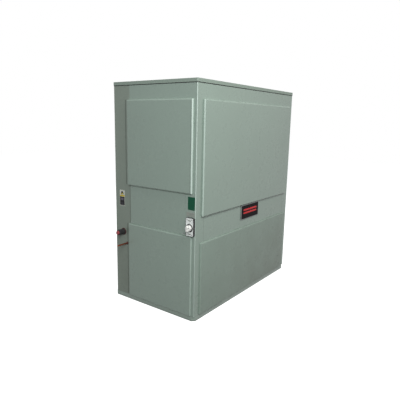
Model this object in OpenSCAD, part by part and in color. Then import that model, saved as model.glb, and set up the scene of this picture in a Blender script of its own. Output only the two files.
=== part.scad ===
// Floor-standing air handler: a sheet steel cabinet with a coil, two blowers, a belt drive and filters.
// Origin at the middle of the base, +Z up, front towards -Y, the end with the pipes towards -X.

/* [Cabinet] */
// Overall width along X
cab_w = 1512; // [1460:4:1600]
// Overall depth along Y
cab_d = 820; // [800:2:880]
// Height to the top of the cap
cab_h = 1753; // [1740:1:1850]
// Height of the base frame
base_h = 38; // [34:1:44]
// Sheet thickness of the posts, rails and trays
sheet_t = 1.6; // [1.2:0.1:2.2]
// Outside bend radius of the corner posts
bend_r = 6; // [4:1:8]
// Height of the turned-down cap
cap_h = 25; // [20:1:30]
// Height of the duct collars
collar_h = 25; // [15:1:40]

/* [Posts and rails] */
// Width of the posts on the front and back
post_w = 100; // [90:1:110]
// Width of the front posts on the ends
post_front_d = 92; // [88:1:100]
// Width of the rear posts on the ends
post_rear_d = 172; // [168:1:178]
// Depth of the lips folded inward
lip_d = 22; // [20:1:24]
// Height of the top rails that shows
rail_h = 108; // [100:1:120]

/* [Panels] */
// How far the upper panels stand proud
up_proud = 19; // [12:1:24]
// How far the lower panels stand proud
low_proud = 13; // [10:1:18]
// Top of the front and back lower panels
front_low_top = 598; // [580:1:600]
// Bottom of the front and back upper panels
front_up_bot = 791; // [790:1:806]
// Top of the end lower panels
end_low_top = 650; // [648:1:654]
// Bottom of the end upper panels
end_up_bot = 960; // [955:1:970]
// How far a panel laps over the posts and rails
lap = 25; // [20:1:28]
// How far a panel's inner skin reaches behind the posts' faces
lining_t = 13; // [10:1:14]
// Corner radius of the panels
panel_r = 4; // [2:1:8]

/* [Filters] */
// Thickness of a filter
filter_t = 48; // [44:1:48]
// Number of pleats in a filter
pleats = 22; // [12:1:30]

/* [Coil] */
// Depth of the fins
coil_d = 90; // [80:1:92]
// Top of the fins
coil_top = 800; // [760:1:820]
// Outside radius of a coil tube
tube_r = 4.8; // [4:0.1:5]
// Outside radius of the suction pipe
suction_r = 14.3; // [13.5:0.1:14.5]
// Outside radius of the liquid pipe
liquid_r = 6.35; // [6:0.05:6.5]
// How far the suction pipe stands out
suction_out = 72; // [60:1:90]
// How far the liquid pipe stands out
liquid_out = 105; // [90:1:120]
// Radius of the drain nipple
drain_r = 13.35; // [12:0.05:14]

/* [Fans] */
// Radius of a fan wheel
wheel_r = 152.4; // [145:0.1:155]
// Width of a fan wheel
wheel_w = 300; // [280:2:310]
// Blades on a fan wheel
blades = 36; // [24:1:40]
// Radius of the fan shaft
shaft_r = 12.7; // [12:0.1:13]
// Smallest radius of the blower scroll
scroll_r0 = 167; // [165:1:172]
// Largest radius of the blower scroll
scroll_r1 = 285; // [275:1:290]
// Radius of the fan pulley
fan_pulley_r = 115; // [100:1:120]
// Radius of the motor pulley
motor_pulley_r = 57; // [50:1:62]
// Radius of the motor shell
motor_r = 82; // [75:1:84]

/* [Hidden] */
hx = cab_w / 2;
hy = cab_d / 2;
t = sheet_t;
mt = 0.5;
cap_z = cab_h - cap_h;
plate_z = cab_h - t;
up_top = cap_z - rail_h;
rail_z = up_top - lap;
band_z0 = front_low_top - lap;
band_z1 = front_up_bot + lap;
end_z0 = end_low_top - lap;
end_z1 = end_up_bot + lap;
sill_h = 20;
in_x = hx - post_w;
front_y = post_front_d - hy;
rear_y = hy - post_rear_d;
panel_in = 66;
low_in = 58;
end_edge = 27;
end_rear = rear_y + 18;
collar_t = 3;
skin_t = 1;
rail_d = 30;
end_rail_d = lip_d - 1;
back_rail_h = 60;

// fans
fan_y = 40;
fan_z = cab_h - 313;
blower_x = hx - 416;
wheel_gap = 15;
housing_w = wheel_w + 2 * wheel_gap;
throat_a = 75;
throat_y0 = fan_y + scroll_r0 * cos(throat_a);
throat_y1 = fan_y + scroll_r1;
wheel_blade_r = 126;
inlet_r = 130;
fan_frame_z = front_up_bot + 134;
fan_frame_h = 40;
stand_x = hx - 176;
stand_foot = 90;
stand_head = 76;
bearing_h = 36.5;
belt_x = hx - 124;
pulley_w = 24;
belt_h = 8;
groove_d = 12;
motor_ahead = 240;
motor_y = fan_y - motor_ahead;
motor_rail_h = 20;
motor_rail_l = 280;
slide_gap = 0.3;
motor_base_t = 8;
motor_foot = 89;
motor_z = fan_frame_z + fan_frame_h + motor_rail_h + slide_gap + motor_base_t + motor_foot;
motor_l = 230;
motor_x0 = 156 - hx;
motor_x1 = motor_x0 + motor_l;
shelf_back = 200;
motor_shaft_r = 11.1;
run = 0.05;
bearing_r = shaft_r + run;

// coil and air path
coil_x = hx - 156;
coil_y = hy - 160;
coil_z = base_h + 22;
fin_t = 1.6;
neck = 0.3;
row_pitch = 30;
tube_pitch = 38;
tubes = 18;
tube_z = coil_z + 47;
pan_y0 = coil_y - 60;
pan_y1 = coil_y + 70;
suction_y = coil_y + 72;
suction_z = end_low_top - 80;
sleeve_r = 23.5;
liquid_y = coil_y + row_pitch;
liquid_z = suction_z - 92;
header_x = coil_x + 72;
liquid_header_x = coil_x + 40;
valve_x = hx - 67;
valve_l = 34;
pipe_bend = 40;
drain_y = coil_y + 35;
drain_z = base_h + t + 20;
filter_y = hy - 50;
rack_z = base_h + 60;
rack_top = front_up_bot - 55;
filter_gap = 0.5;
filter_x = hx - 70.5;
filter_w = (2 * filter_x) / 3;
filter_z0 = rack_z + t + filter_gap;
filter_z1 = rack_top - filter_gap;
rack_y0 = filter_y - filter_t / 2 - filter_gap;
rack_y1 = filter_y + filter_t / 2 + filter_gap;
slot_z0 = rack_z - 4;
slot_z1 = rack_top + 8;
return_z0 = rack_z + 20;
return_z1 = rack_top - 16;
return_x = hx - 126;

// electrical
box_gap = 6;
box_d = 106;
box_h = 248;
box_y1 = front_y + 378;
box_z = end_low_top + t;
face_x = box_gap - hx + box_d - t;
contactor_y = front_y + 98;
contactor_z = end_low_top + 107.5;
contactor_d = 55;
plunger_w = 25;
transformer_y = front_y + 208;
transformer_z = end_low_top + 77.5;
terminal_y = front_y + 148;
terminal_z = end_low_top + 180;
terminals = 10;
terminal_pitch = 19;
switch_y = 40 - hy;
switch_w = 76;
switch_z0 = end_low_top + 6;
switch_h = 137;
switch_d = 16;
switch_rim = 6;
knob_z = switch_z0 + 62;
knob_r = 23;
knob_d = 24;
grip_d = 14.5;
knob_pin_r = 5;

// plates and labels
plate_w = 290;
plate_h = 122;
plate_t = 8;
plate_rim = 4;
plate_z0 = front_low_top + 68;
label_t = 0.6;
side_label_y = 7 - hy;
side_label_z = switch_z0 + switch_h + 5;
service_w = 58;
service_h = 128;
service_y = rear_y + 66;
service_z = end_low_top + 134;

color_steel = [0.52, 0.58, 0.54];
color_metal = [0.75, 0.76, 0.77];
color_dark = [0.1, 0.1, 0.11];
color_copper = [0.72, 0.42, 0.28];

// which sub-part to build

function arc(cx, cy, r, a0, a1, n) =
  [for (i = [0:n]) let (a = a0 + (a1 - a0) * i / n) [cx + r * cos(a), cy + r * sin(a)]];

function round_box(x0, y0, x1, y1, r) = concat(
  arc(x1 - r, y1 - r, r, 0, 90, 4), arc(x0 + r, y1 - r, r, 90, 180, 4),
  arc(x0 + r, y0 + r, r, 180, 270, 4), arc(x1 - r, y0 + r, r, 270, 360, 4));

function cut_box(x, y, c) = [[x - c, -y], [x, c - y], [x, y], [-x, y], [-x, c - y], [c - x, -y]];

module box(x0, x1, y0, y1, z0, z1) {
  translate([x0, y0, z0]) cube([x1 - x0, y1 - y0, z1 - z0]);
}

module rod_x(x0, x1, y, z, r) {
  translate([x0, y, z]) rotate([0, 90, 0]) cylinder(r = r, h = x1 - x0, $fn = 64);
}

// a folded corner post with its corner at the origin and its legs along +X and +Y
module post(w, d, z0, z1) {
  translate([0, 0, z0]) linear_extrude(z1 - z0) polygon(concat(
    [[w, 0]], arc(bend_r, bend_r, bend_r, 270, 180, 4), [[0, d], [lip_d, d], [lip_d, d - t], [t, d - t]],
    arc(bend_r, bend_r, bend_r - t, 180, 270, 4), [[w - t, t], [w - t, lip_d], [w, lip_d]]));
}

// a channel along X with its web on y = 0
module rail(x0, x1, z0, z1, d) {
  difference() {
    box(x0, x1, 0, d, z0, z1);
    box(x0 - 1, x1 + 1, t, d + 1, z0 + t, z1 - t);
  }
}

// a tray along X, proud of y = 0 towards -Y, with an inner skin held off it by ribs
module tray(x0, x1, z0, z1, proud, lx0, lx1, lz0, lz1) {
  difference() {
    rotate([90, 0, 0]) linear_extrude(proud) polygon(round_box(x0, z0, x1, z1, panel_r));
    translate([0, 1, 0]) rotate([90, 0, 0]) linear_extrude(proud + 1 - t)
      polygon(round_box(x0 + t, z0 + t, x1 - t, z1 - t, panel_r / 2));
  }
  box(lx0, lx1, lining_t - skin_t, lining_t, lz0, lz1);
  for (k = [1:3]) {
    x = lx0 + k * (lx1 - lx0) / 4;
    box(x - t / 2, x + t / 2, t / 2 - proud, lining_t - skin_t / 2, lz0 + 20, lz1 - 20);
  }
}

module base_frame() {
  color(color_dark) difference() {
    union() {
      linear_extrude(base_h) polygon(cut_box(hx, hy, 22));
      box(-in_x, in_x, -hy, t - hy, base_h - 1, base_h + sill_h);
      box(-in_x, in_x, hy - t, hy, base_h - 1, base_h + sill_h);
      box(-hx, t - hx, front_y, rear_y, base_h - 1, base_h + sill_h);
      box(hx - t, hx, front_y, rear_y, base_h - 1, base_h + sill_h);
    }
    translate([0, 0, 3]) linear_extrude(base_h - 6) polygon(cut_box(hx - 3, hy - 3, 21));
    box(60 - hx, hx - 60, 60 - hy, hy - 60, -1, 4);
    box(40 - hx, hx - 40, 40 - hy, hy - 40, 4, base_h + 1);
    for (x = [-1, 1], y = [-1, 1]) translate([x * (hx - 48), y * (hy - 48), -1])
      cylinder(r = 7, h = 5, $fn = 48);
  }
}

module floor_pan() {
  color(color_metal) box(lip_d + mt - hx, hx - lip_d - mt, lip_d + mt - hy, hy - lip_d - mt, base_h, base_h + t);
}

module post_front_left() {
  color(color_steel) translate([-hx, -hy, 0]) post(post_w, post_front_d, base_h, plate_z);
}

module post_front_right() {
  color(color_steel) mirror([1, 0, 0]) translate([-hx, -hy, 0]) post(post_w, post_front_d, base_h, plate_z);
}

module post_rear_left() {
  color(color_steel) difference() {
    mirror([0, 1, 0]) translate([-hx, -hy, 0]) post(post_w, post_rear_d, base_h, plate_z);
    rod_x(-hx - 1, 3 - hx, suction_y, suction_z, sleeve_r + 2.5);
    rod_x(-hx - 1, 3 - hx, liquid_y, liquid_z, 9);
  }
}

module post_rear_right() {
  color(color_steel) difference() {
    mirror([0, 1, 0]) mirror([1, 0, 0]) translate([-hx, -hy, 0]) post(post_w, post_rear_d, base_h, plate_z);
    box(hx - 3, hx + 1, rack_y0 - 2, rack_y1 + 2, slot_z0, slot_z1);
    rod_x(hx - 3, hx + 1, drain_y, drain_z, drain_r + 3);
  }
}

module discharge(grow) {
  for (s = [-1, 1]) translate([s * blower_x, 0, 0]) linear_extrude(cab_h + collar_h + 1 + grow)
    polygon(round_box(-housing_w / 2 - grow, throat_y0 - grow, housing_w / 2 + grow, throat_y1 + grow, 6));
}

module top_cap() {
  color(color_steel) difference() {
    union() {
      translate([0, 0, cap_z]) linear_extrude(cap_h)
        polygon(round_box(-hx - 3, -hy - 3, hx + 3, hy + 3, bend_r + 3));
      intersection() {
        discharge(collar_t);
        box(-hx, hx, -hy, hy, cab_h - 1, cab_h + collar_h);
      }
    }
    translate([0, 0, cap_z - 1]) linear_extrude(cap_h + 1 - t) polygon(round_box(-hx, -hy, hx, hy, bend_r));
    discharge(0);
  }
}

module top_rails() {
  side_l = cab_d - post_front_d - post_rear_d;
  color(color_steel) {
    translate([0, -hy, 0]) rail(-in_x, in_x, rail_z, plate_z, rail_d);
    mirror([0, 1, 0]) translate([0, -hy, 0]) rail(-in_x, in_x, rail_z, plate_z, rail_d);
    for (s = [0, 1]) mirror([s, 0, 0]) translate([-hx, front_y, 0]) mirror([1, -1, 0])
      rail(0, side_l, rail_z, plate_z, rail_d);
  }
}

module front_mid_band() {
  color(color_steel) translate([0, -hy, 0]) rail(-in_x, in_x, band_z0, band_z1, rail_d);
}

module back_mid_rail() {
  color(color_steel) mirror([0, 1, 0]) translate([0, -hy, 0])
    rail(-in_x, in_x, band_z1 - back_rail_h, band_z1, rail_d);
}

// the rails above and below the control cover, each with a ledge that the cover lies on
module left_mid_rails() {
  color(color_steel) {
    difference() {
      box(-hx, 40 - hx, front_y, rear_y, end_z0 - 5, end_low_top + t);
      box(t - hx, 41 - hx, front_y - 1, rear_y + 1, end_z0 - 5 + t, end_low_top);
    }
    box(t - hx, 2 * t - hx, front_y, rear_y, end_low_top + t - 0.5, end_low_top + 16);
    difference() {
      box(-hx, end_rail_d - hx, front_y, rear_y, end_up_bot - t, end_z1);
      box(t - hx, end_rail_d + 1 - hx, front_y - 1, rear_y + 1, end_up_bot, end_z1 - t);
    }
    box(t - hx, 2 * t - hx, front_y, rear_y, end_up_bot - 16, end_up_bot - t + 0.5);
  }
}

module right_mid_band() {
  side_l = cab_d - post_front_d - post_rear_d;
  color(color_steel) mirror([1, 0, 0]) translate([-hx, front_y, 0]) mirror([1, -1, 0])
    rail(0, side_l, end_z0, end_z1, end_rail_d);
}

module control_cover() {
  color(color_steel) box(-hx, t - hx, front_y + mt, rear_y - mt, end_low_top + t + mt, end_up_bot - t - mt);
}

module front_upper_panel() {
  color(color_steel) translate([0, -hy, 0]) tray(panel_in - hx, hx - panel_in, front_up_bot, up_top, up_proud,
    6 - in_x, in_x - 6, band_z1 + 6, rail_z - 6);
}

module front_lower_panel() {
  color(color_steel) translate([0, -hy, 0]) tray(low_in - hx, hx - low_in, base_h, front_low_top, low_proud,
    6 - in_x, in_x - 6, base_h + sill_h + 6, band_z0 - 6);
}

module end_tray(z0, z1, proud, lz0, lz1) {
  translate([-hx, 0, 0]) mirror([1, -1, 0])
    tray(end_edge - hy, end_rear, z0, z1, proud, front_y + 6, rear_y - 6, lz0, lz1);
}

module left_upper_panel() {
  color(color_steel) end_tray(end_up_bot, up_top, up_proud, end_z1 + 6, rail_z - 6);
}

module left_lower_panel() {
  color(color_steel) end_tray(base_h, end_low_top, low_proud, base_h + sill_h + 6, end_z0 - 11);
}

module right_upper_panel() {
  color(color_steel) mirror([1, 0, 0]) end_tray(end_up_bot, up_top, up_proud, end_z1 + 6, rail_z - 6);
}

module right_lower_panel() {
  color(color_steel) mirror([1, 0, 0])
    end_tray(base_h, end_low_top, low_proud, base_h + sill_h + 6, end_z0 - 11);
}

module back_upper_panel() {
  color(color_steel) mirror([0, 1, 0]) translate([0, -hy, 0])
    tray(panel_in - hx, hx - panel_in, front_up_bot, up_top, up_proud,
      6 - in_x, in_x - 6, band_z1 + 6, rail_z - 6);
}

module return_frame() {
  color(color_steel) difference() {
    union() {
      box(panel_in - hx, hx - panel_in, hy, hy + t, base_h + sill_h, front_up_bot - 3);
      box(-return_x - t, return_x + t, hy, hy + collar_h, return_z0 - t, return_z1 + t);
    }
    box(-return_x, return_x, hy - 1, hy + collar_h + 1, return_z0, return_z1);
  }
}

module filter_rack() {
  color(color_metal) {
    difference() {
      box(-filter_x - t - filter_gap, hx - t, rack_y0 - t, rack_y1 + t, rack_z, rack_top + t);
      box(-filter_x - filter_gap, hx, rack_y0, rack_y1, rack_z + t, rack_top);
      box(-filter_x - filter_gap, hx, rack_y0 - t - 1, rack_y1 + t + 1, rack_z + 14, rack_top - 12);
    }
    for (x = [125.5 - filter_x, 0, filter_x - 125.5])
      box(x - 15, x + 15, rack_y0 + 10, rack_y0 + 12, base_h + t, rack_z + 0.5);
  }
}

// one filter: a card frame with a folded sheet in it
module filter(i) {
  x0 = -filter_x + i * filter_w + 0.4;
  x1 = x0 + filter_w - 0.8;
  y0 = filter_y - filter_t / 2;
  y1 = filter_y + filter_t / 2;
  n = 2 * pleats;
  step = (x1 - x0 - 12) / n;
  a = y0 + 6;
  b = y1 - 9;
  color([0.86, 0.86, 0.8]) {
    difference() {
      box(x0, x1, y0, y1, filter_z0, filter_z1);
      box(x0 + 3, x1 - 3, y0 + 3, y1 - 3, filter_z0 + 3, filter_z1 - 3);
      box(x0 + 25, x1 - 25, y0 - 1, y1 + 1, filter_z0 + 25, filter_z1 - 25);
    }
    translate([0, 0, filter_z0 + 2.5]) linear_extrude(filter_z1 - filter_z0 - 5) polygon(concat(
      [[x0 + 2.5, a]],
      [for (k = [0:n]) [x0 + 6 + k * step, k % 2 == 0 ? a : b]], [[x1 - 2.5, a]], [[x1 - 2.5, a + 3]],
      [for (k = [n:-1:0]) [x0 + 6 + k * step, (k % 2 == 0 ? a : b) + 3]], [[x0 + 2.5, a + 3]]));
  }
}

module filter_left() {
  filter(0);
}

module filter_middle() {
  filter(1);
}

module filter_right() {
  filter(2);
}

module filter_door() {
  z0 = slot_z0 - 10;
  z1 = slot_z1 + 10;
  y0 = rack_y0 - 12;
  y1 = hy - 11;
  color(color_steel) {
    difference() {
      box(hx, hx + 9, y0, y1, z0, z1);
      box(hx - 1, hx + 9 - t, y0 + t, y1 - t, z0 + t, z1 - t);
    }
    for (z = [z0 + 60, z1 - 60]) rod_x(hx + 8, hx + 13, y1 - 12, z, 9);
  }
}

module drain_pan() {
  px = hx - 66;
  color(color_metal) difference() {
    union() {
      box(-px, px, pan_y0, pan_y1, base_h + t, base_h + 47);
      rod_x(px - 1, hx + 30, drain_y, drain_z, drain_r - neck);
      rod_x(hx + 2, hx + 30, drain_y, drain_z, drain_r);
    }
    box(t - px, px - t, pan_y0 + t, pan_y1 - t, base_h + 2 * t, base_h + 48);
    rod_x(px - 5, hx + 31, drain_y, drain_z, drain_r - 3);
  }
}

// fins on a thin middle web, with a plain strip along the top and the bottom
module coil_fins() {
  y0 = coil_y - coil_d / 2;
  y1 = coil_y + coil_d / 2;
  n = 60;
  step = 2 * coil_x / n;
  color(color_metal) difference() {
    box(-coil_x, coil_x, y0, y1, coil_z, coil_top);
    for (k = [0:n - 1]) {
      x = k * step - coil_x + fin_t;
      box(x, x + step - fin_t, y0 - 1, coil_y - 2, coil_z + 6, coil_top - 6);
      box(x, x + step - fin_t, coil_y + 2, y1 + 1, coil_z + 6, coil_top - 6);
    }
  }
}

module coil_plates() {
  y0 = coil_y - coil_d / 2;
  y1 = coil_y + coil_d / 2;
  z0 = base_h + 2 * t;
  color(color_metal) for (s = [0, 1]) mirror([s, 0, 0]) {
    box(coil_x, coil_x + 3, y0, y1, z0, coil_top + 5);
    box(coil_x, coil_x + 18, y0 - 2, y0 + 0.5, z0, coil_top + 5);
    box(coil_x, coil_x + 18, y1 - 0.5, y1 + 2, z0, coil_top + 5);
  }
}

module tube_bend() {
  rotate([90, 0, 180]) translate([0, tube_pitch / 2, 0]) rotate([0, 0, -90])
    rotate_extrude(angle = 180, $fn = 48) translate([tube_pitch / 2, 0]) circle(r = tube_r, $fn = 24);
}

// the return bends outside the end plates, in three rows
module coil_bends() {
  color(color_copper) {
    for (row = [-1, 0, 1], k = [0:2:tubes - 2]) if (row == 0)
      translate([-coil_x - 3, coil_y + row * row_pitch, tube_z + k * tube_pitch]) tube_bend();
    for (row = [-1, 1], k = [1:3:tubes - 2])
      translate([-coil_x - 3, coil_y + row * row_pitch, tube_z + k * tube_pitch]) tube_bend();
    for (row = [-1, 0, 1], k = [1:2:tubes - 3])
      translate([coil_x + 3, coil_y + row * row_pitch, tube_z + k * tube_pitch]) mirror([1, 0, 0]) tube_bend();
  }
}

module suction_pipe() {
  hy0 = coil_y - row_pitch;
  bend_y = suction_y - pipe_bend;
  color(color_copper) difference() {
    union() {
      translate([-header_x, hy0, tube_z - 15]) cylinder(r = 17.5, h = 15 * tube_pitch + 45, $fn = 64);
      for (k = [0:3:tubes - 1]) rod_x(-header_x, -coil_x - 3, hy0, tube_z + k * tube_pitch, tube_r);
      translate([-header_x, hy0, suction_z]) rotate([-90, 0, 0])
        cylinder(r = suction_r - neck, h = bend_y - hy0, $fn = 64);
      translate([-header_x - pipe_bend, bend_y, suction_z])
        rotate_extrude(angle = 90, $fn = 64) translate([pipe_bend, 0]) circle(r = suction_r - neck, $fn = 64);
      rod_x(-hx - suction_out, -header_x - pipe_bend, suction_y, suction_z, suction_r - neck);
      rod_x(-hx - suction_out, -hx - suction_out + 12, suction_y, suction_z, suction_r);
    }
    rod_x(-hx - suction_out - 1, -hx - suction_out + 12, suction_y, suction_z, suction_r - 1.5);
  }
}

module liquid_pipe() {
  hy0 = coil_y + row_pitch;
  color(color_copper) difference() {
    union() {
      translate([-liquid_header_x, hy0, tube_z - 20]) cylinder(r = 8, h = 15 * tube_pitch + 40, $fn = 48);
      for (k = [0:3:tubes - 1]) rod_x(-liquid_header_x, -coil_x - 3, hy0, tube_z + k * tube_pitch, tube_r);
      rod_x(-hx - liquid_out, -liquid_header_x, liquid_y, liquid_z, liquid_r - neck);
      rod_x(-hx - liquid_out, -hx - 8, liquid_y, liquid_z, liquid_r);
      rod_x(-valve_x - valve_l / 2, valve_l / 2 - valve_x, liquid_y, liquid_z, 15);
      translate([-valve_x, liquid_y, liquid_z]) cylinder(r = 11, h = 38, $fn = 48);
    }
    rod_x(-hx - liquid_out - 1, -hx - liquid_out + 20, liquid_y, liquid_z, liquid_r - 1);
  }
}

module suction_sleeve() {
  color(color_dark) difference() {
    rod_x(-hx - suction_out + 12, 8 - hx, suction_y, suction_z, sleeve_r);
    rod_x(-hx - suction_out, 9 - hx, suction_y, suction_z, suction_r - neck + run);
  }
}

module grommet(y, z, r_in, r_hole, r_out) {
  difference() {
    union() {
      rod_x(-hx - 5, -hx, y, z, r_out);
      rod_x(-hx, t - hx, y, z, r_hole);
      rod_x(t - hx, t + 3 - hx, y, z, r_hole + 2);
    }
    rod_x(-hx - 6, t + 4 - hx, y, z, r_in);
  }
}

module pipe_grommets() {
  color(color_dark) {
    grommet(suction_y, suction_z, sleeve_r, sleeve_r + 2.5, sleeve_r + 6.5);
    grommet(liquid_y, liquid_z, liquid_r - neck, 9, 12);
  }
}

function scroll(inset) = [for (i = [0:48]) let (a = throat_a + (360 - throat_a) * i / 48,
  r = scroll_r0 + (scroll_r1 - scroll_r0) * i / 48 - inset) [fan_y + r * cos(a), fan_z + r * sin(a)]];

function scroll_out() = concat(scroll(0), [[throat_y1, plate_z], [throat_y0, plate_z]]);

function scroll_in() = concat(scroll(t), [[throat_y1 - t, plate_z + 5], [throat_y0 + t, plate_z + 5],
  [throat_y0 + t, fan_z + (scroll_r0 - t) * sin(throat_a)]]);

// turns a drawing in Y and Z into a plate from x = 0 towards +X
module plate_yz(w) {
  rotate([90, 0, 90]) linear_extrude(w) children();
}

module blower_housing(x) {
  w = housing_w / 2;
  color(color_metal) translate([x, 0, 0]) {
    difference() {
      translate([-w, 0, 0]) plate_yz(housing_w) polygon(scroll_out());
      translate([t - w, 0, 0]) plate_yz(housing_w - 2 * t) polygon(scroll_in());
      rod_x(-w - 1, w + 1, fan_y, fan_z, inlet_r);
    }
    for (s = [0, 1]) mirror([s, 0, 0]) translate([w - 0.5, fan_y, fan_z]) rotate([0, 90, 0]) difference() {
      cylinder(r = inlet_r + 6, h = 12.5, $fn = 96);
      translate([0, 0, -1]) cylinder(r = inlet_r, h = 15, $fn = 96);
    }
  }
}

module blower_housing_left() {
  blower_housing(-blower_x);
}

module blower_housing_right() {
  blower_housing(blower_x);
}

// one forward-curved blade, drawn in Y and Z
function blade_arc(r, off) = [for (i = [0:5]) let (rr = wheel_blade_r + (r - wheel_blade_r) * i / 5,
  a = off + 10 * (i / 5) * (i / 5)) [rr * cos(a), rr * sin(a)]];

function reversed(p) = [for (i = [len(p) - 1:-1:0]) p[i]];

module fan_wheel(x) {
  w = wheel_w / 2;
  color(color_metal) translate([x, fan_y, fan_z]) {
    for (k = [0:blades - 1]) rotate([k * 360 / blades, 0, 0]) translate([-w + 1, 0, 0]) plate_yz(wheel_w - 2)
      polygon(concat(blade_arc(wheel_r - 1, 0), reversed(blade_arc(wheel_r - 1, 0.8))));
    for (s = [-w, w - 5]) difference() {
      rod_x(s, s + 5, 0, 0, wheel_r);
      rod_x(s - 1, s + 6, 0, 0, wheel_r - 14);
    }
    difference() {
      union() {
        rod_x(-2, 2, 0, 0, wheel_r - 8);
        rod_x(-30, 30, 0, 0, 30);
      }
      rod_x(-31, 31, 0, 0, shaft_r);
    }
  }
}

module fan_wheel_left() {
  fan_wheel(-blower_x);
}

module fan_wheel_right() {
  fan_wheel(blower_x);
}

module fan_shaft() {
  color(color_metal) rod_x(-belt_x - 18, stand_x + 30, fan_y, fan_z, shaft_r);
}

module bearings() {
  color([0.16, 0.2, 0.3]) for (x = [-stand_x, stand_x]) difference() {
    union() {
      box(x - 18, x + 18, fan_y - 68, fan_y + 68, fan_z - bearing_h, fan_z - bearing_h + 14);
      box(x - 15, x + 15, fan_y - 34, fan_y + 34, fan_z - bearing_h + 13, fan_z);
      rod_x(x - 15, x + 15, fan_y, fan_z, 35);
    }
    rod_x(x - 20, x + 20, fan_y, fan_z, bearing_r);
  }
}

module bearing_stands() {
  z0 = fan_frame_z + fan_frame_h;
  z1 = fan_z - bearing_h;
  color(color_metal) for (x = [-stand_x, stand_x]) {
    box(x - 22, x + 22, fan_y - stand_foot, fan_y + stand_foot, z0, z0 + 6);
    box(x - 19, x + 19, fan_y - stand_head, fan_y + stand_head, z1 - 6, z1);
    translate([x - 3, 0, 0]) plate_yz(6) polygon([[fan_y + 5 - stand_foot, z0 + 5.5],
      [fan_y + stand_foot - 5, z0 + 5.5], [fan_y + stand_head - 16, z1 - 5.5],
      [fan_y + 16 - stand_head, z1 - 5.5]]);
  }
}

module fan_frame() {
  x = hx - lip_d;
  y = hy - lip_d;
  z1 = fan_frame_z + fan_frame_h;
  shelf_y = motor_y + shelf_back;
  color(color_metal) {
    difference() {
      box(-x, x, -y, y, fan_frame_z, z1);
      box(3 - x, x - 3, 3 - y, y - 3, fan_frame_z + 3, z1 - 3);
      box(30 - x, x - 30, 30 - y, y - 30, fan_frame_z - 1, z1 + 1);
    }
    for (s = [-stand_x, stand_x]) difference() {
      box(s - 25, s + 25, 3 - y, y - 3, fan_frame_z + 3, z1);
      box(s - 22, s + 22, 2 - y, y - 2, fan_frame_z + 2, z1 - 3);
    }
    box(motor_x0 - 6, motor_x1 + 46, 29 - y, shelf_y, z1 - 3, z1);
    box(motor_x0 - 6, motor_x1 + 46, shelf_y - 4, shelf_y, fan_frame_z + 10, z1 - 2.5);
  }
}

module pulley(x, r, bore) {
  w = pulley_w / 2;
  translate([x, 0, 0]) rotate([0, 90, 0]) rotate_extrude($fn = 96) polygon([[bore, -w - 6], [bore + 14, -w - 6],
    [bore + 14, -3], [r - 20, -3], [r - 20, -w], [r, -w], [r, -8.2], [r - groove_d, -5.2],
    [r - groove_d, 5.2], [r, 8.2], [r, w], [r - 20, w], [r - 20, 3], [bore + 14, 3], [bore + 14, w], [bore, w]]);
}

module fan_pulley() {
  color([0.2, 0.22, 0.24]) translate([0, fan_y, fan_z]) pulley(-belt_x, fan_pulley_r, shaft_r);
}

// the belt: two arcs and two straight runs of one wedge section
belt_dy = fan_y - motor_y;
belt_dz = fan_z - motor_z;
belt_c = sqrt(belt_dy * belt_dy + belt_dz * belt_dz);
belt_turn = atan2(belt_dz, belt_dy);
belt_r1 = motor_pulley_r - groove_d + 3;
belt_r2 = fan_pulley_r - groove_d + 3;
belt_lean = asin((belt_r2 - belt_r1) / belt_c);
belt_run = belt_c * cos(belt_lean);

module belt_section() {
  polygon([[0, -5.6], [belt_h, -7.6], [belt_h, 7.6], [0, 5.6]]);
}

module belt() {
  color(color_dark) translate([-belt_x, motor_y, motor_z]) rotate([belt_turn, 0, 0]) {
    rotate([90, 0, 90]) {
      rotate([0, 0, 90 + belt_lean]) rotate_extrude(angle = 180 - 2 * belt_lean, $fn = 96)
        translate([belt_r1, 0]) belt_section();
      translate([belt_c, 0, 0]) rotate([0, 0, -90 - belt_lean])
        rotate_extrude(angle = 180 + 2 * belt_lean, $fn = 96)
        translate([belt_r2, 0]) belt_section();
      for (s = [0, 1]) mirror([0, s, 0]) rotate([0, 0, belt_lean]) translate([0, belt_r1, 0])
        rotate([0, 90, 0]) rotate([0, 0, 90]) linear_extrude(belt_run) belt_section();
    }
  }
}

module motor() {
  color([0.3, 0.33, 0.38]) difference() {
    union() {
      rod_x(motor_x0 + 26, motor_x1 - 30, motor_y, motor_z, motor_r);
      translate([motor_x0, motor_y, motor_z]) rotate([0, 90, 0])
        cylinder(r1 = 52, r2 = motor_r, h = 26.5, $fn = 64);
      translate([motor_x1 - 30.5, motor_y, motor_z]) rotate([0, 90, 0])
        cylinder(r1 = motor_r, r2 = 60, h = 30.5, $fn = 64);
      box(motor_x0 + 50, motor_x0 + 90, motor_y - 75, motor_y + 75, motor_z - motor_foot, motor_z - 40);
      box(motor_x1 - 90, motor_x1 - 50, motor_y - 75, motor_y + 75, motor_z - motor_foot, motor_z - 40);
      box(motor_x0 + 70, motor_x0 + 160, motor_y + 60, motor_y + 112, motor_z - 30, motor_z + 40);
    }
    rod_x(motor_x0 - 1, motor_x0 + 100, motor_y, motor_z, motor_shaft_r + run);
  }
}

module motor_shaft() {
  color(color_metal) rod_x(-belt_x - 18, motor_x0 + 98, motor_y, motor_z, motor_shaft_r);
}

module motor_pulley() {
  color([0.2, 0.22, 0.24]) translate([0, motor_y, motor_z]) pulley(-belt_x, motor_pulley_r, motor_shaft_r);
}

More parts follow.
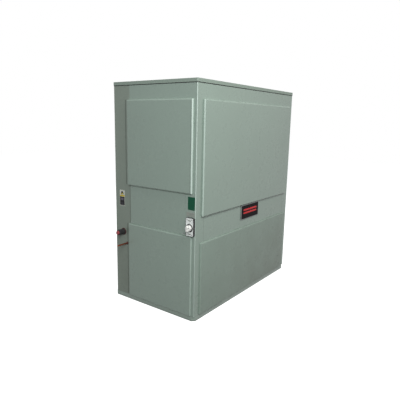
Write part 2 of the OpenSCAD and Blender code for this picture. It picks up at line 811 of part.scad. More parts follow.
module motor_base() {
  z1 = motor_z - motor_foot;
  color(color_metal) {
    difference() {
      box(motor_x0 + 6, motor_x1 - 6, motor_y - 95, motor_y + 95, z1 - motor_base_t, z1);
      for (x = [motor_x0 + 22, motor_x1 - 22])
        box(x - 5, x + 5, motor_y - 70, motor_y + 70, z1 - motor_base_t - 1, z1 + 1);
    }
    box(motor_x0 + 110, motor_x0 + 120, motor_y + 85, motor_y + 95, z1 - 0.5, z1 + 14);
  }
}

module motor_rails() {
  z0 = fan_frame_z + fan_frame_h;
  l = motor_rail_l / 2;
  color(color_metal) for (x = [motor_x0 + 22, motor_x1 - 22]) {
    difference() {
      box(x - 16, x + 16, motor_y - l, motor_y + l, z0, z0 + motor_rail_h);
      box(x - 6, x + 6, motor_y - l + 15, motor_y + l - 15, z0 + 6, z0 + motor_rail_h + 1);
    }
  }
}

module control_box() {
  x0 = box_gap - hx;
  x1 = x0 + box_d;
  z1 = box_z + box_h;
  color(color_metal) difference() {
    box(x0, x1, front_y, box_y1, box_z, z1);
    box(x0 - 1, x1 - t, front_y + t, box_y1 - t, box_z + t, z1 - t);
  }
}

// a block on the control box's inner face, centred on y and z, from one depth to another off the face
module on_face(d1, d0, y, z, w, h) {
  box(face_x - d1, face_x - d0, y - w / 2, y + w / 2, z - h / 2, z + h / 2);
}

module contactor() {
  color(color_dark) difference() {
    union() {
      on_face(contactor_d, 0, contactor_y, contactor_z, 60, 75);
      on_face(40, 0, contactor_y, contactor_z, 72, 103);
    }
    on_face(contactor_d + 1, 30, contactor_y, contactor_z, plunger_w + 1, plunger_w);
  }
}

module contactor_plunger() {
  color([0.8, 0.8, 0.76]) on_face(contactor_d + 5, 35, contactor_y, contactor_z, plunger_w, plunger_w - 1);
}

module transformer() {
  color([0.4, 0.4, 0.42]) {
    on_face(46, 0, transformer_y, transformer_z, 60, 55);
    on_face(56, 45.5, transformer_y, transformer_z, 36, 43);
    on_face(3, 0, transformer_y, transformer_z, 60, 75);
  }
}

module terminal_block() {
  l = terminals * terminal_pitch;
  color([0.85, 0.84, 0.78]) difference() {
    box(face_x - 22, face_x, terminal_y, terminal_y + l, terminal_z, terminal_z + 32);
    for (k = [0:terminals - 1]) translate([0, terminal_y + k * terminal_pitch, terminal_z])
      box(face_x - 23, face_x - 8, 3, terminal_pitch - 3, 4, 28);
  }
}

module switch_base() {
  color(color_dark) difference() {
    rotate([90, 0, -90]) translate([-switch_y, 0, hx]) linear_extrude(switch_d)
      polygon(round_box(-switch_w / 2, switch_z0, switch_w / 2, switch_z0 + switch_h, 8));
    rod_x(-hx - switch_d - 1, -hx - 4, switch_y, knob_z, knob_pin_r + 1);
  }
}

module switch_plate() {
  w = switch_w / 2 - switch_rim;
  color([0.85, 0.86, 0.86]) difference() {
    rotate([90, 0, -90]) translate([-switch_y, 0, hx + switch_d]) linear_extrude(t)
      polygon(round_box(-w, switch_z0 + 3, w, switch_z0 + switch_h - 3, 6));
    rod_x(-hx - switch_d - t - 1, -hx - switch_d + 1, switch_y, knob_z, knob_pin_r + run);
  }
}

module switch_knob() {
  x0 = -hx - switch_d - t;
  color([0.9, 0.9, 0.88]) {
    rod_x(x0 - knob_d, x0 - 0.3, switch_y, knob_z, knob_r);
    rod_x(x0 - 5, x0 + t + 8, switch_y, knob_z, knob_pin_r);
    translate([x0 - knob_d + 0.5, switch_y, knob_z]) rotate([90, 0, -90]) linear_extrude(grip_d)
      polygon(round_box(-7, 2 - knob_r, 7, knob_r - 1, 5));
  }
}

module nameplate() {
  w = plate_w / 2;
  z1 = plate_z0 + plate_h;
  color(color_dark) difference() {
    translate([12, -hy, 0]) rotate([90, 0, 0]) linear_extrude(plate_t)
      polygon(round_box(-w, plate_z0, w, z1, 7));
    translate([12, 1 - hy - plate_t, 0]) rotate([90, 0, 0]) linear_extrude(2)
      polygon(round_box(plate_rim - w, plate_z0 + plate_rim, w - plate_rim, z1 - plate_rim, 4));
  }
}

module service_label() {
  color([0.85, 0.85, 0.8])
    box(-hx - label_t, -hx, service_y, service_y + service_w, service_z, service_z + service_h);
}

module side_labels() {
  color([0.05, 0.25, 0.15]) translate([-hx - label_t, side_label_y, side_label_z]) {
    cube([label_t, 74, 30]);
    translate([0, 0, 48]) cube([label_t, 62, 95]);
  }
}

base_frame();
floor_pan();
post_front_left();
post_front_right();
post_rear_left();
post_rear_right();
top_cap();
top_rails();
front_mid_band();
back_mid_rail();
left_mid_rails();
right_mid_band();
control_cover();
front_upper_panel();
front_lower_panel();
left_upper_panel();
left_lower_panel();
right_upper_panel();
right_lower_panel();
back_upper_panel();
return_frame();
filter_rack();
filter_left();
filter_middle();
filter_right();
filter_door();
drain_pan();
coil_fins();
coil_plates();
coil_bends();
suction_pipe();
liquid_pipe();
suction_sleeve();
pipe_grommets();
blower_housing_left();
blower_housing_right();
fan_wheel_left();
fan_wheel_right();
fan_shaft();
bearings();
bearing_stands();
fan_frame();
fan_pulley();
belt();
motor();
motor_shaft();
motor_pulley();
motor_base();
motor_rails();
control_box();
contactor();
contactor_plunger();
transformer();
terminal_block();
switch_base();
switch_plate();
switch_knob();
nameplate();
service_label();
side_labels();
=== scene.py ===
from math import asin, atan2, cos, hypot, pi, radians, sin
import random
import bpy
import bmesh
from mathutils import Matrix, Vector


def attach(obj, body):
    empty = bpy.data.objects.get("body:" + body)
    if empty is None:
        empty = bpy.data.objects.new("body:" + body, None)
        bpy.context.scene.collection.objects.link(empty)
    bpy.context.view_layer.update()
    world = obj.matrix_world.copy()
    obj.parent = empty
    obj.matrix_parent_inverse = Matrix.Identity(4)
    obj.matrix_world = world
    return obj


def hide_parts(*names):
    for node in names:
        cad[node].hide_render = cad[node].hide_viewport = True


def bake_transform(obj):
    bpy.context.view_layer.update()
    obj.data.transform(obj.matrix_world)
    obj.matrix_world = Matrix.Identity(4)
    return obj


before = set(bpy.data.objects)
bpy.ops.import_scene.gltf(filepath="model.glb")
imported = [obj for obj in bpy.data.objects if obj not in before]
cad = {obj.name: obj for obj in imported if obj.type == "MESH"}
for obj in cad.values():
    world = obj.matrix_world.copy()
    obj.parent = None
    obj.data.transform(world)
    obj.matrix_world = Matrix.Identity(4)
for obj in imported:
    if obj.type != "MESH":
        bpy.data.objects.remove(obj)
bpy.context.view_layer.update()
mm = 0.001
# half width, half depth, height, base, sheet and bends in millimetres
cabinet = {"hx": 756, "hy": 410, "h": 1753, "base": 38, "sheet": 1.6, "bend": 6}
hx, hy, sheet = cabinet["hx"], cabinet["hy"], cabinet["sheet"]
print("frame loaded")

cam = bpy.data.objects.new("camera", bpy.data.cameras.new("camera"))
bpy.context.scene.collection.objects.link(cam)
bpy.context.scene.camera = cam
# solved from the cabinet's outline: millimetres, degrees, then focal length and picture width in pixels
view = {"place": (-3010.2, -2097.8, 1465.3), "yaw": 53.78, "pitch": 10.84, "roll": 1.159, "focal": 409.15,
        "frame": 400, "sensor": 36, "clip": (0.05, 60)}


def aimCamera():
    yaw, pitch, roll = (radians(view[k]) for k in ("yaw", "pitch", "roll"))
    ahead = Vector((sin(yaw) * cos(pitch), cos(yaw) * cos(pitch), -sin(pitch)))
    right0 = ahead.cross(Vector((0, 0, 1))).normalized()
    up0 = right0.cross(ahead)
    right = right0 * cos(roll) + up0 * sin(roll)
    up = -right0 * sin(roll) + up0 * cos(roll)
    turn = Matrix((right, up, -ahead)).transposed()
    cam.matrix_world = Matrix.Translation(Vector(view["place"]) * mm) @ turn.to_4x4()
    cam.data.sensor_width = view["sensor"]
    cam.data.lens = view["focal"] / view["frame"] * view["sensor"]
    cam.data.clip_start, cam.data.clip_end = view["clip"]


aimCamera()


def tone(r, g, b):
    # a colour as it is seen, given in 0 to 255, turned linear
    def one(v):
        v /= 255
        return v / 12.92 if v <= 0.04045 else ((v + 0.055) / 1.055) ** 2.4
    return (one(r), one(g), one(b), 1)


def mixTone(a, b, t):
    return tuple(a[i] * (1 - t) + b[i] * t for i in range(3)) + (1,)


def shade(colour, k):
    return tuple(min(1, c * k) for c in colour[:3]) + (1,)


enamelTone = tone(145, 161, 150)
# colour of the painted highlights on bends and panel edges
paintedHighlightTone = tone(210, 224, 216)
# colour of dark joints and of painted shadow lines
jointAndShadowTone = tone(58, 66, 60)
lowDarkTone = tone(90, 92, 78)


def feed(node, inputs):
    # each input gets a value, or the socket that feeds it
    for key, value in inputs.items():
        if isinstance(value, bpy.types.NodeSocket):
            node.id_data.links.new(value, node.inputs[key])
        else:
            node.inputs[key].default_value = value
    return node


def addNode(tree, kind, inputs):
    return feed(tree.nodes.new("ShaderNode" + kind), inputs)


class Finish:
    # one procedural surface, built on object coordinates, which are the row frame in metres

    def __init__(self, name, colour, rough, metal=0.0):
        self.mat = bpy.data.materials.new(name)
        self.mat.use_nodes = True
        self.shader = feed(self.mat.node_tree.nodes["Principled BSDF"], {"Metallic": metal})
        self.coords = self.node("TexCoord", {}).outputs["Object"]
        self.colour = self.node("RGB", {}).outputs[0]
        self.colour.default_value = colour
        self.base, self.rough, self.height = colour, rough, None

    def node(self, kind, inputs):
        return addNode(self.mat.node_tree, kind, inputs)

    def noise(self, size, detail, rough, scale=(1, 1, 1)):
        stretch = self.node("Mapping", {"Vector": self.coords, "Scale": scale}).outputs[0]
        inputs = {"Vector": stretch, "Scale": 1 / size, "Detail": detail, "Roughness": rough}
        return self.node("TexNoise", inputs).outputs["Fac"]

    def cells(self, size, out="Color"):
        return self.node("TexVoronoi", {"Vector": self.coords, "Scale": 1 / size}).outputs[out]

    def ramp(self, value, low, high, a=0.0, b=1.0):
        inputs = {"Value": value, "From Min": low, "From Max": high, "To Min": a, "To Max": b}
        return self.node("MapRange", inputs).outputs[0]

    def maths(self, kind, a, b):
        node = self.node("Math", {0: a, 1: b})
        node.operation = kind
        return node.outputs[0]

    def product(self, *values):
        out = values[0]
        for value in values[1:]:
            out = self.maths("MULTIPLY", out, value)
        return out

    def axis(self, name):
        return self.node("SeparateXYZ", {0: self.coords}).outputs[name]

    def offMiddle(self, name):
        return self.maths("ABSOLUTE", self.axis(name), 0)

    def tint(self, colour, factor):
        node = self.node("Mix", {})
        node.data_type = "RGBA"
        self.colour = feed(node, {"A": self.colour, "B": colour, "Factor": factor}).outputs["Result"]
        return self

    def line(self, along, at, half, strength, low=-1.0, high=3.0, colour=jointAndShadowTone):
        # a thin line in a joint, or a painted shadow or painted highlight along an edge, from low to high,
        # mirrored about the middle
        off = self.maths("ABSOLUTE", self.maths("SUBTRACT", self.offMiddle(along), at), 0)
        fade = 0.004
        rise, fall = (self.ramp(self.axis("Z"), z, z + k) for z, k in ((low, fade), (high, -fade)))
        return self.tint(colour, self.product(self.ramp(off, half, half * 0.4, 0, strength), rise, fall))

    def mottle(self, size, amount):
        # lighter and darker patches of the same colour
        n = self.noise(size, 4, 0.55)
        self.tint(shade(self.base, 1 - amount), self.ramp(n, 0.5, 0.3, 0, 0.9))
        return self.tint(shade(self.base, 1 + amount), self.ramp(n, 0.5, 0.7, 0, 0.9))

    def stain(self, colour, size, low, high, strength, rough=0.7, detail=5):
        # blotches of another colour where the noise runs high
        return self.tint(colour, self.ramp(self.noise(size, detail, rough), low, high, 0, strength))

    def vary(self, size, amount, scale=(1, 1, 1)):
        # duller and shinier patches
        n = self.noise(size, 4, 0.6, scale)
        self.rough = self.maths("ADD", self.rough, self.ramp(n, 0.25, 0.75, -amount, amount))
        return self

    def grain(self, size, depth, detail=2, scale=(1, 1, 1)):
        # relief, in metres
        part = self.maths("MULTIPLY", self.noise(size, detail, 0.5, scale), depth)
        self.height = part if self.height is None else self.maths("ADD", self.height, part)
        return self

    def done(self):
        feed(self.shader, {"Base Color": self.colour, "Roughness": self.rough})
        if self.height is not None:
            bump = self.node("Bump", {"Strength": 1, "Distance": 1, "Height": self.height})
            feed(self.shader, {"Normal": bump.outputs[0]})
        return self.mat


def enamel(name, colour, lowDarkAmount=0.12, lines=(), rough=0.3, drift=None, rubbed=False):
    # sprayed enamel on folded sheet: orange peel, slow waves in the sheet, blotchy darkening towards the
    # bottom and scuffs; when asked, a painted highlight on the corner bends
    f = Finish(name, colour, rough)
    feed(f.shader, {"Specular IOR Level": 0.5 if lowDarkAmount < 0.5 else 0.25})
    f.mottle(0.45, 0.035).mottle(0.02, 0.01)
    # darker towards the bottom, in blotches
    lowDarkening = f.product(f.ramp(f.axis("Z"), 0.85, 0.05), f.ramp(f.noise(0.16, 5, 0.6), 0.3, 0.75, 0.45, 1))
    if drift:  # heavier towards +X
        lowDarkening = f.product(lowDarkening, f.ramp(f.axis("X"), -0.7, 0.7, *drift))
    f.tint(mixTone(colour, lowDarkTone, 0.75), f.product(lowDarkening, lowDarkAmount))
    runs = f.ramp(f.noise(0.03, 5, 0.6, (1, 1, 0.06)), 0.6, 0.78)
    f.tint(mixTone(colour, tone(100, 106, 98), 0.6), f.product(runs, 0.04))
    specks = f.ramp(f.cells(0.035, "Distance"), 0.045, 0.02)
    f.tint(tone(112, 116, 106), f.product(specks, 0.07))
    if rubbed:  # painted highlight along the corner bends, stronger higher up
        ends = [f.ramp(f.offMiddle(along), at * mm - 0.0046, at * mm - 0.0022)
                for along, at in (("X", hx), ("Y", hy))]
        f.tint(paintedHighlightTone, f.product(*ends, f.ramp(f.axis("Z"), 0.2, 1.1, 0.3, 0.75)))
    for entry in lines:
        f.line(*entry)
    f.vary(0.09, 0.07).vary(0.004, 0.03)
    f.grain(0.0016, 0.000018).grain(0.28, 0.0012, 1).grain(0.09, 0.00016, 1)
    return f.done()


def zinc(name, colour=tone(172, 176, 178), rough=0.38):
    # hot-dip zinc: spangle, dull patches and fine scratches
    f = Finish(name, colour, rough, 0.85)
    spangle = f.node("RGBToBW", {0: f.cells(0.012)}).outputs[0]
    f.tint(shade(colour, 0.72), f.ramp(spangle, 0.2, 0.9, 0.0, 0.55))
    f.rough = f.maths("ADD", f.rough, f.ramp(spangle, 0, 1, -0.06, 0.1))
    f.mottle(0.15, 0.05).vary(0.05, 0.05)
    f.grain(0.0015, 0.00001, 3, (1, 1, 0.12))
    return f.done()


def plastic(name, colour, rough):
    f = Finish(name, colour, rough).mottle(0.03, 0.05).vary(0.02, 0.06).grain(0.0008, 0.000012)
    return f.stain(mixTone(colour, tone(120, 112, 98), 0.6), 0.015, 0.56, 0.75, 0.3).done()


def rubberSkin(name, colour, rough):
    f = Finish(name, colour, rough).mottle(0.01, 0.15).vary(0.01, 0.1).grain(0.0012, 0.00006)
    return f.stain(tone(92, 88, 80), 0.02, 0.55, 0.8, 0.3).done()


def castPaint(name, colour, rough):
    f = Finish(name, colour, rough).mottle(0.02, 0.12).vary(0.02, 0.1).grain(0.0025, 0.00012)
    return f.stain(tone(110, 92, 70), 0.012, 0.62, 0.78, 0.35).done()


def steelBar(name):
    f = Finish(name, tone(150, 152, 152), 0.28, 1.0).mottle(0.02, 0.06).vary(0.006, 0.08, (0.1, 1, 1))
    return f.grain(0.0006, 0.000006, 2, (1, 0.05, 1)).stain(tone(96, 74, 56), 0.03, 0.66, 0.8, 0.5).done()


def printFilm(name, colour, rough, shine=0.2):
    f = Finish(name, colour, rough).mottle(0.02, 0.04).vary(0.01, 0.05).grain(0.0012, 0.000008)
    feed(f.shader, {"Specular IOR Level": shine})
    return f.stain(mixTone(colour, tone(120, 118, 104), 0.6), 0.01, 0.6, 0.8, 0.35).done()


# tube, fins, glass wool with its mat face, filter cloth and card
copper = Finish("copper", tone(150, 84, 62), 0.42, 0.85).mottle(0.012, 0.12)
copper.stain(tone(92, 54, 40), 0.02, 0.52, 0.72, 0.75, 0.65)
copper.stain(tone(96, 124, 104), 0.007, 0.66, 0.78, 0.5, 0.5, 4).vary(0.01, 0.12).grain(0.001, 0.00001)
fins = Finish("fins", tone(186, 189, 192), 0.33, 0.9).mottle(0.09, 0.08)
fins.stain(tone(118, 116, 108), 0.07, 0.5, 0.8, 0.4, 0.65).vary(0.02, 0.08).grain(0.0009, 0.00002)
wool = Finish("wool", tone(44, 42, 40), 0.9).mottle(0.02, 0.2).mottle(0.003, 0.25)
wool.grain(0.004, 0.0006, 4).grain(0.03, 0.0012, 2)
pleats = Finish("pleats", tone(214, 214, 204), 0.9).mottle(0.05, 0.06).grain(0.0009, 0.0001, 3, (1, 1, 0.3))
pleats.stain(tone(120, 116, 104), 0.09, 0.45, 0.8, 0.45, 0.6)
card = Finish("card", tone(206, 198, 178), 0.85).mottle(0.05, 0.05).grain(0.0006, 0.00003)
card.stain(tone(160, 148, 124), 0.004, 0.5, 0.8, 0.4, 0.7, 4)

# lines on the enamel: axis, distance from the middle, half width, strength, lowest and highest point, colour
shellLines = [
    ("X", 0.656, 0.0035, 0.35, 0.6, 0.79),  # joint of the front middle band
    ("X", 0.6865, 0.0036, 0.42, 0.795, 1.617, paintedHighlightTone),  # painted highlight on the edge of the front upper panel
    # painted shade just beyond the edge of the front upper panel
    ("X", 0.6935, 0.003, 0.35, 0.795, 1.617),
    ("Y", 0.38, 0.0034, 0.8, 0.964, 1.617, paintedHighlightTone),  # painted highlight on the edges of the end panels
    # painted shade at the inner end of the end panels' rolled edges
    ("Y", 0.3708, 0.0036, 0.4, 0.97, 1.612),
    # painted highlight on the edges of the lower end panels
    ("Y", 0.381, 0.003, 0.22, 0.042, 0.647, paintedHighlightTone)]
baseShadowLines = [("Z", 0.002, 0.007, 0.6), ("Z", 0.037, 0.004, 0.3)]  # painted shadows along the floor and under the posts
rearShadowAndJointLines = [  # painted shadows beside the end panels' rear edges on the wide rear post, and a joint
    # painted shadow beside the upper end panel
    ("Y", 0.282, 0.0065, 0.6, 0.962, 1.62),
    # painted shadow beside the lower end panel
    ("Y", 0.274, 0.006, 0.55, 0.04, 0.65),
    # joint behind the control cover
    ("Y", 0.2425, 0.0055, 0.45, 0.652, 0.958)]

mats = {
    "enamel": enamel("enamel", enamelTone, lines=shellLines, rubbed=True),
    "enamel_cap": enamel("enamel_cap", tone(139, 153, 142), 0.0, rough=0.5),
    # base enamel lighter than the rest: painted light making up for the shade under the proud panels
    "enamel_base": enamel("enamel_base", tone(150, 165, 154), 0.15, baseShadowLines),
    "enamel_dark": enamel("enamel_dark", tone(120, 132, 122)),
    "enamel_worn": enamel("enamel_worn", enamelTone, 0.75, drift=(0.45, 1.2)),
    # rear posts' enamel, darker and warmer than the rest: painted shade of the light falling off towards the
    # back
    "enamel_rear": enamel("enamel_rear", tone(140, 150, 139), 0.5, rearShadowAndJointLines),
    "zinc": zinc("zinc"), "zinc_dull": zinc("zinc_dull", tone(150, 154, 156), 0.5),
    "copper": copper.done(), "fins": fins.done(), "wool": wool.done(),
    "pleats": pleats.done(), "card": card.done(),
    "shaft": steelBar("shaft"), "screw": steelBar("screw"), "rim": steelBar("rim"),
    "plate_black": printFilm("plate_black", tone(20, 16, 18), 0.55, 0.05),
}
# colour and roughness of what is made the same way
alike = {
    rubberSkin: {"foam": (30, 29, 30, 0.85), "grommet": (66, 30, 28, 0.6), "belt": (34, 34, 35, 0.6),
                 "gasket": (24, 24, 25, 0.9)},
    castPaint: {"cast": (54, 60, 66, 0.5), "bearing": (36, 58, 88, 0.5), "motor": (58, 70, 82, 0.42),
                "core_steel": (84, 84, 88, 0.45)},
    plastic: {"black": (26, 26, 28, 0.4), "pale": (240, 243, 240, 0.42), "white": (240, 239, 235, 0.35),
              "cream": (206, 200, 180, 0.5), "red_cap": (160, 66, 72, 0.5)},
    printFilm: {"plate_red": (212, 36, 40, 0.35), "label_green": (4, 75, 51, 0.5),
                "label_grey": (156, 160, 152, 0.5), "label_white": (224, 224, 214, 0.45),
                "label_yellow": (208, 184, 52, 0.45), "label_black": (28, 28, 30, 0.45),
                "label_mauve": (104, 98, 112, 0.45)},
}
for recipe, group in alike.items():
    for name, (*rgb, rough) in group.items():
        mats[name] = recipe(name, tone(*rgb), rough)
print("finishes made")


class Shape:
    # gathers closed forms in millimetres into one mesh

    def __init__(self, place=None):
        self.verts, self.faces, self.marks = [], [], []
        self.place = place or (lambda x, y, z: (x, y, z))

    def add(self, verts, faces, mark):
        start = len(self.verts)
        self.verts += [self.place(*v) for v in verts]
        self.faces += [[i + start for i in f] for f in faces]
        self.marks += [mark] * len(faces)

    def box(self, x0, x1, y0, y1, z0, z1, mark=0):
        v = [(x, y, z) for x in (x0, x1) for y in (y0, y1) for z in (z0, z1)]
        f = [(0, 1, 3, 2), (4, 6, 7, 5), (0, 4, 5, 1), (2, 3, 7, 6), (0, 2, 6, 4), (1, 5, 7, 3)]
        self.add(v, f, mark)

    def loft(self, loops, mark=0, ring=False):
        # skin through the loops, closed by end faces, or back to the first loop when ring is true
        n, verts, faces = len(loops[0]), [p for loop in loops for p in loop], []
        last = len(loops) if ring else len(loops) - 1
        for i in range(last):
            a, b = i * n, ((i + 1) % len(loops)) * n
            faces += [(a + k, a + (k + 1) % n, b + (k + 1) % n, b + k) for k in range(n)]
        if not ring:
            faces += [tuple(range(n))[::-1], tuple(range(len(verts) - n, len(verts)))]
        self.add(verts, faces, mark)

    def slab(self, points, levels, mark=0):
        # an outline in u and z, carried along n through the levels
        self.loft([[(u, n, z) for u, z in points] for n in levels], mark)

    def prism(self, outline, low, high):
        # an outline in x and y, carried up from low to high
        self.loft([[(x, y, z) for x, y in outline] for z in (low, high)])

    def lathe(self, profile, centre, axis, steps, mark=0, ring=False):
        # profile is (distance along the axis, radius); it closes on itself when ring is true
        cx, cy, cz = centre
        turn = {"x": lambda h, r, c, s: (cx + h, cy + r * c, cz + r * s),
                "y": lambda h, r, c, s: (cx + r * c, cy + h, cz + r * s),
                "z": lambda h, r, c, s: (cx + r * c, cy + r * s, cz + h)}[axis]
        n, verts, faces = len(profile), [turn(h, r, c, s) for c, s in circle(steps) for h, r in profile], []
        for k in range(steps):
            a, b = k * n, ((k + 1) % steps) * n
            faces += [(a + i, b + i, b + (i + 1) % n, a + (i + 1) % n) for i in range(n if ring else n - 1)]
        if not ring:
            faces += [tuple(range(0, len(verts), n)), tuple(range(n - 1, len(verts), n))[::-1]]
        self.add(verts, faces, mark)

    def rod(self, a, b, radius, steps, mark=0):
        self.tube([a, b], radius, steps, mark)

    def tube(self, path, radius, steps, mark=0):
        # radius is one value, or one for each point of the path
        pts = [Vector(p) for p in path]
        radii = radius if isinstance(radius, (list, tuple)) else [radius] * len(pts)
        loops, side = [], None
        for i, p in enumerate(pts):
            d = (pts[min(i + 1, len(pts) - 1)] - pts[max(i - 1, 0)]).normalized()
            if side is None:
                side = d.orthogonal().normalized()
            side = (side - d * side.dot(d)).normalized()
            other = d.cross(side)
            loops.append([tuple(p + (side * c + other * q) * radii[i]) for c, q in circle(steps)])
        self.loft(loops, mark)

    def build(self, name, body, finishes, bevel=0.0, *, replaced=(), sharp=34, blend=None):
        mesh = bpy.data.meshes.new(name)
        mesh.from_pydata([tuple(c * mm for c in v) for v in self.verts], [], self.faces)
        for f in finishes:
            mesh.materials.append(mats[f])
        for poly, mark in zip(mesh.polygons, self.marks):
            poly.material_index = mark
            poly.use_smooth = True
        work = bmesh.new()
        work.from_mesh(mesh)
        bmesh.ops.recalc_face_normals(work, faces=work.faces)
        work.to_mesh(mesh)
        work.free()
        mesh.set_sharp_from_angle(angle=radians(sharp))
        obj = bpy.data.objects.new(name, mesh)
        bpy.context.scene.collection.objects.link(obj)
        if bevel:
            soften(obj, bevel)
        even = obj.modifiers.new("even", "WEIGHTED_NORMAL")  # wide flat faces stay flat
        even.keep_sharp = True
        if blend:
            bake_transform(obj)
        else:
            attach(obj, body)
        if replaced:
            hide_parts(*replaced)


def soften(obj, width, segments=2):
    mod = obj.modifiers.new("soften", "BEVEL")
    mod.width, mod.segments = width * mm, segments
    mod.limit_method, mod.angle_limit = "ANGLE", radians(34)
    mod.harden_normals = mod.use_clamp_overlap = True


def dress(node, finish, width, segments=2):
    # a CAD node that keeps its shape gets a finish and softened edges
    obj = cad[node]
    obj.data.materials.clear()
    obj.data.materials.append(mats[finish])
    weld = obj.modifiers.new("weld", "WELD")
    weld.merge_threshold = 0.00002
    soften(obj, width, segments)


def arc(cx, cy, r, a0, a1, n):
    angles = [radians(a0 + (a1 - a0) * i / n) for i in range(n + 1)]
    return [(cx + r * cos(a), cy + r * sin(a)) for a in angles]


def roundBox(x0, y0, x1, y1, r, n=5):
    corners = ((x1 - r, y1 - r), (x0 + r, y1 - r), (x0 + r, y0 + r), (x1 - r, y0 + r))
    return [p for k, (x, y) in enumerate(corners) for p in arc(x, y, r, 90 * k, 90 * k + 90, n)]


def insetBox(u0, z0, u1, z1, inset, r, n=5):
    return roundBox(u0 + inset, z0 + inset, u1 - inset, z1 - inset, r, n)


def insetLoops(u0, z0, u1, z1, levels, r, tighten=False):
    # one rounded outline for each (n, inset); its corners tighten with the inset when asked
    return [[(u, n, z) for u, z in insetBox(u0, z0, u1, z1, k, r - k if tighten else r)] for n, k in levels]


sides = {
    # u runs along the face, n outward, z up
    "front": lambda u, n, z: (u, -hy - n, z),
    "back": lambda u, n, z: (-u, hy + n, z),
    "left": lambda u, n, z: (-hx - n, u, z),
    "right": lambda u, n, z: (hx + n, u, z),
}


def bothWays(half):
    # a profile and its mirror image
    return half + [(-h, r) for h, r in half[::-1]]


def circle(n, turn=0.0):
    angles = [radians(turn + 360 * k / n) for k in range(n)]
    return [(cos(a), sin(a)) for a in angles]


def screwHead(shape, u, n, z, r, tall, mark=0):
    # hex washer head screw, standing out along n, each turned its own way
    turn = random.Random(int(u * 7 + z * 13)).uniform(0, 60)
    flange = [(r * 1.28 * c, r * 1.28 * s) for c, s in circle(20)]
    hexa = [(r * c, r * s) for c, s in circle(6, turn)]
    small = [(r * 0.86 * c, r * 0.86 * s) for c, s in circle(6, turn)]
    for levels in (((flange, -0.2), (flange, 0.9)), ((hexa, 0.5), (hexa, tall - 0.6), (small, tall))):
        shape.loft([[(u + a, n + h, z + b) for a, b in pts] for pts, h in levels], mark)


# width along X, depth along Y, the corner that it stands at, finish
posts = {
    "post_front_left": (100, 92, (-1, -1), "enamel"),
    "post_front_right": (100, 92, (1, -1), "enamel"),
    "post_rear_left": (100, 172, (-1, 1), "enamel_rear"),
}
postLip = 22


def postOutline(w, d):
    r, t, lip = cabinet["bend"], sheet, postLip
    return ([(w, 0)] + arc(r, r, r, 270, 180, 8) + [(0, d), (lip, d), (lip, d - t), (t, d - t)]
            + arc(r, r, r - t, 180, 270, 8) + [(w - t, t), (w - t, lip), (w, lip)])


def makePosts():
    for name, (w, d, (sx, sy), finish) in posts.items():
        s = Shape(lambda x, y, z, sx=sx, sy=sy: (sx * (hx - x), sy * (hy - y), z))
        s.prism(postOutline(w, d), cabinet["base"], cabinet["h"] - sheet)
        s.build(name + "_skin", "cabinet", [finish], 0.5, replaced=[name])
    dress("post_rear_right", "enamel_rear", 0.4)


makePosts()
for node in ("top_rails", "front_mid_band", "back_mid_rail", "left_mid_rails", "right_mid_band"):
    dress(node, "enamel", 0.45)
dress("base_frame", "enamel_base", 0.8)
dress("floor_pan", "zinc", 0.3)
dress("top_cap", "enamel_cap", 0.9, 3)
dress("return_frame", "enamel", 0.4)
dress("filter_rack", "zinc", 0.3)
dress("drain_pan", "zinc_dull", 0.4)


capShadowStrip = {"low": 1723.6, "high": 1728, "in": 0.1, "out": 1.6}


def makeCapShadowStrip():
    # a black strip round the posts, under the cap's lip: painted shade, the dark line under the lip
    d = capShadowStrip
    corners = ((d["in"], d["low"]), (d["out"], d["low"]), (d["out"], d["high"]), (d["in"], d["high"]))
    s = Shape()
    s.loft([[(x, y, z) for x, y in roundBox(-hx - k, -hy - k, hx + k, hy + k, cabinet["bend"] + k)]
            for k, z in corners], ring=True)
    s.build("cap_seal", "cabinet", ["gasket"], sharp=40)


makeCapShadowStrip()
print("cabinet shell made")

# u runs along the face, z up; the skin is the inner sheet's low and high u, then z; screws are (u, z)
trays = {
    "wideUpper": {"u": (-690, 690), "z": (791, 1620), "proud": 19, "skin": (-650, 650, 822, 1589),
                  "screws": [(-600, 1603), (-200, 1603), (200, 1603), (600, 1603), (-600, 808), (600, 808)]},
    "wideLower": {"u": (-698, 698), "z": (38, 598), "proud": 13, "skin": (-650, 650, 64, 567),
                  "screws": [(-640, 583), (-215, 583), (215, 583), (640, 583)]},
    "endUpper": {"u": (-383, 256), "z": (960, 1620), "proud": 19, "skin": (-312, 232, 991, 1589),
                 "screws": [(-228, 1603), (116, 1603), (-228, 977), (116, 977)]},
    "endLower": {"u": (-383, 256), "z": (38, 650), "proud": 13, "skin": (-312, 232, 64, 614),
                 "screws": [(-228, 634), (116, 634)]},
}
# side, tray and finish; the back one is fixed, the others come off
panels = {
    "front_upper": ("front", "wideUpper", "enamel"),
    "front_lower": ("front", "wideLower", "enamel_worn"),
    "left_upper": ("left", "endUpper", "enamel"),
    "left_lower": ("left", "endLower", "enamel"),
    "right_upper": ("right", "endUpper", "enamel"),
    "right_lower": ("right", "endLower", "enamel"),
    "back_upper": ("back", "wideUpper", "enamel"),
}
# all panels: corner radius, share of the height that the edge rolls over, gasket's inset and width
panelEdge = {"corner": 7, "roll": 0.6, "gap": 3, "strip": 12}


def panelBody(name):
    return "cabinet" if name == "back_upper" else name


def trayLoop(p, inset, n):
    (u0, u1), (z0, z1) = p["u"], p["z"]
    r = max(panelEdge["corner"] - inset, 2)
    return [(u, n, z) for u, z in insetBox(u0, z0, u1, z1, inset, r, 6)]


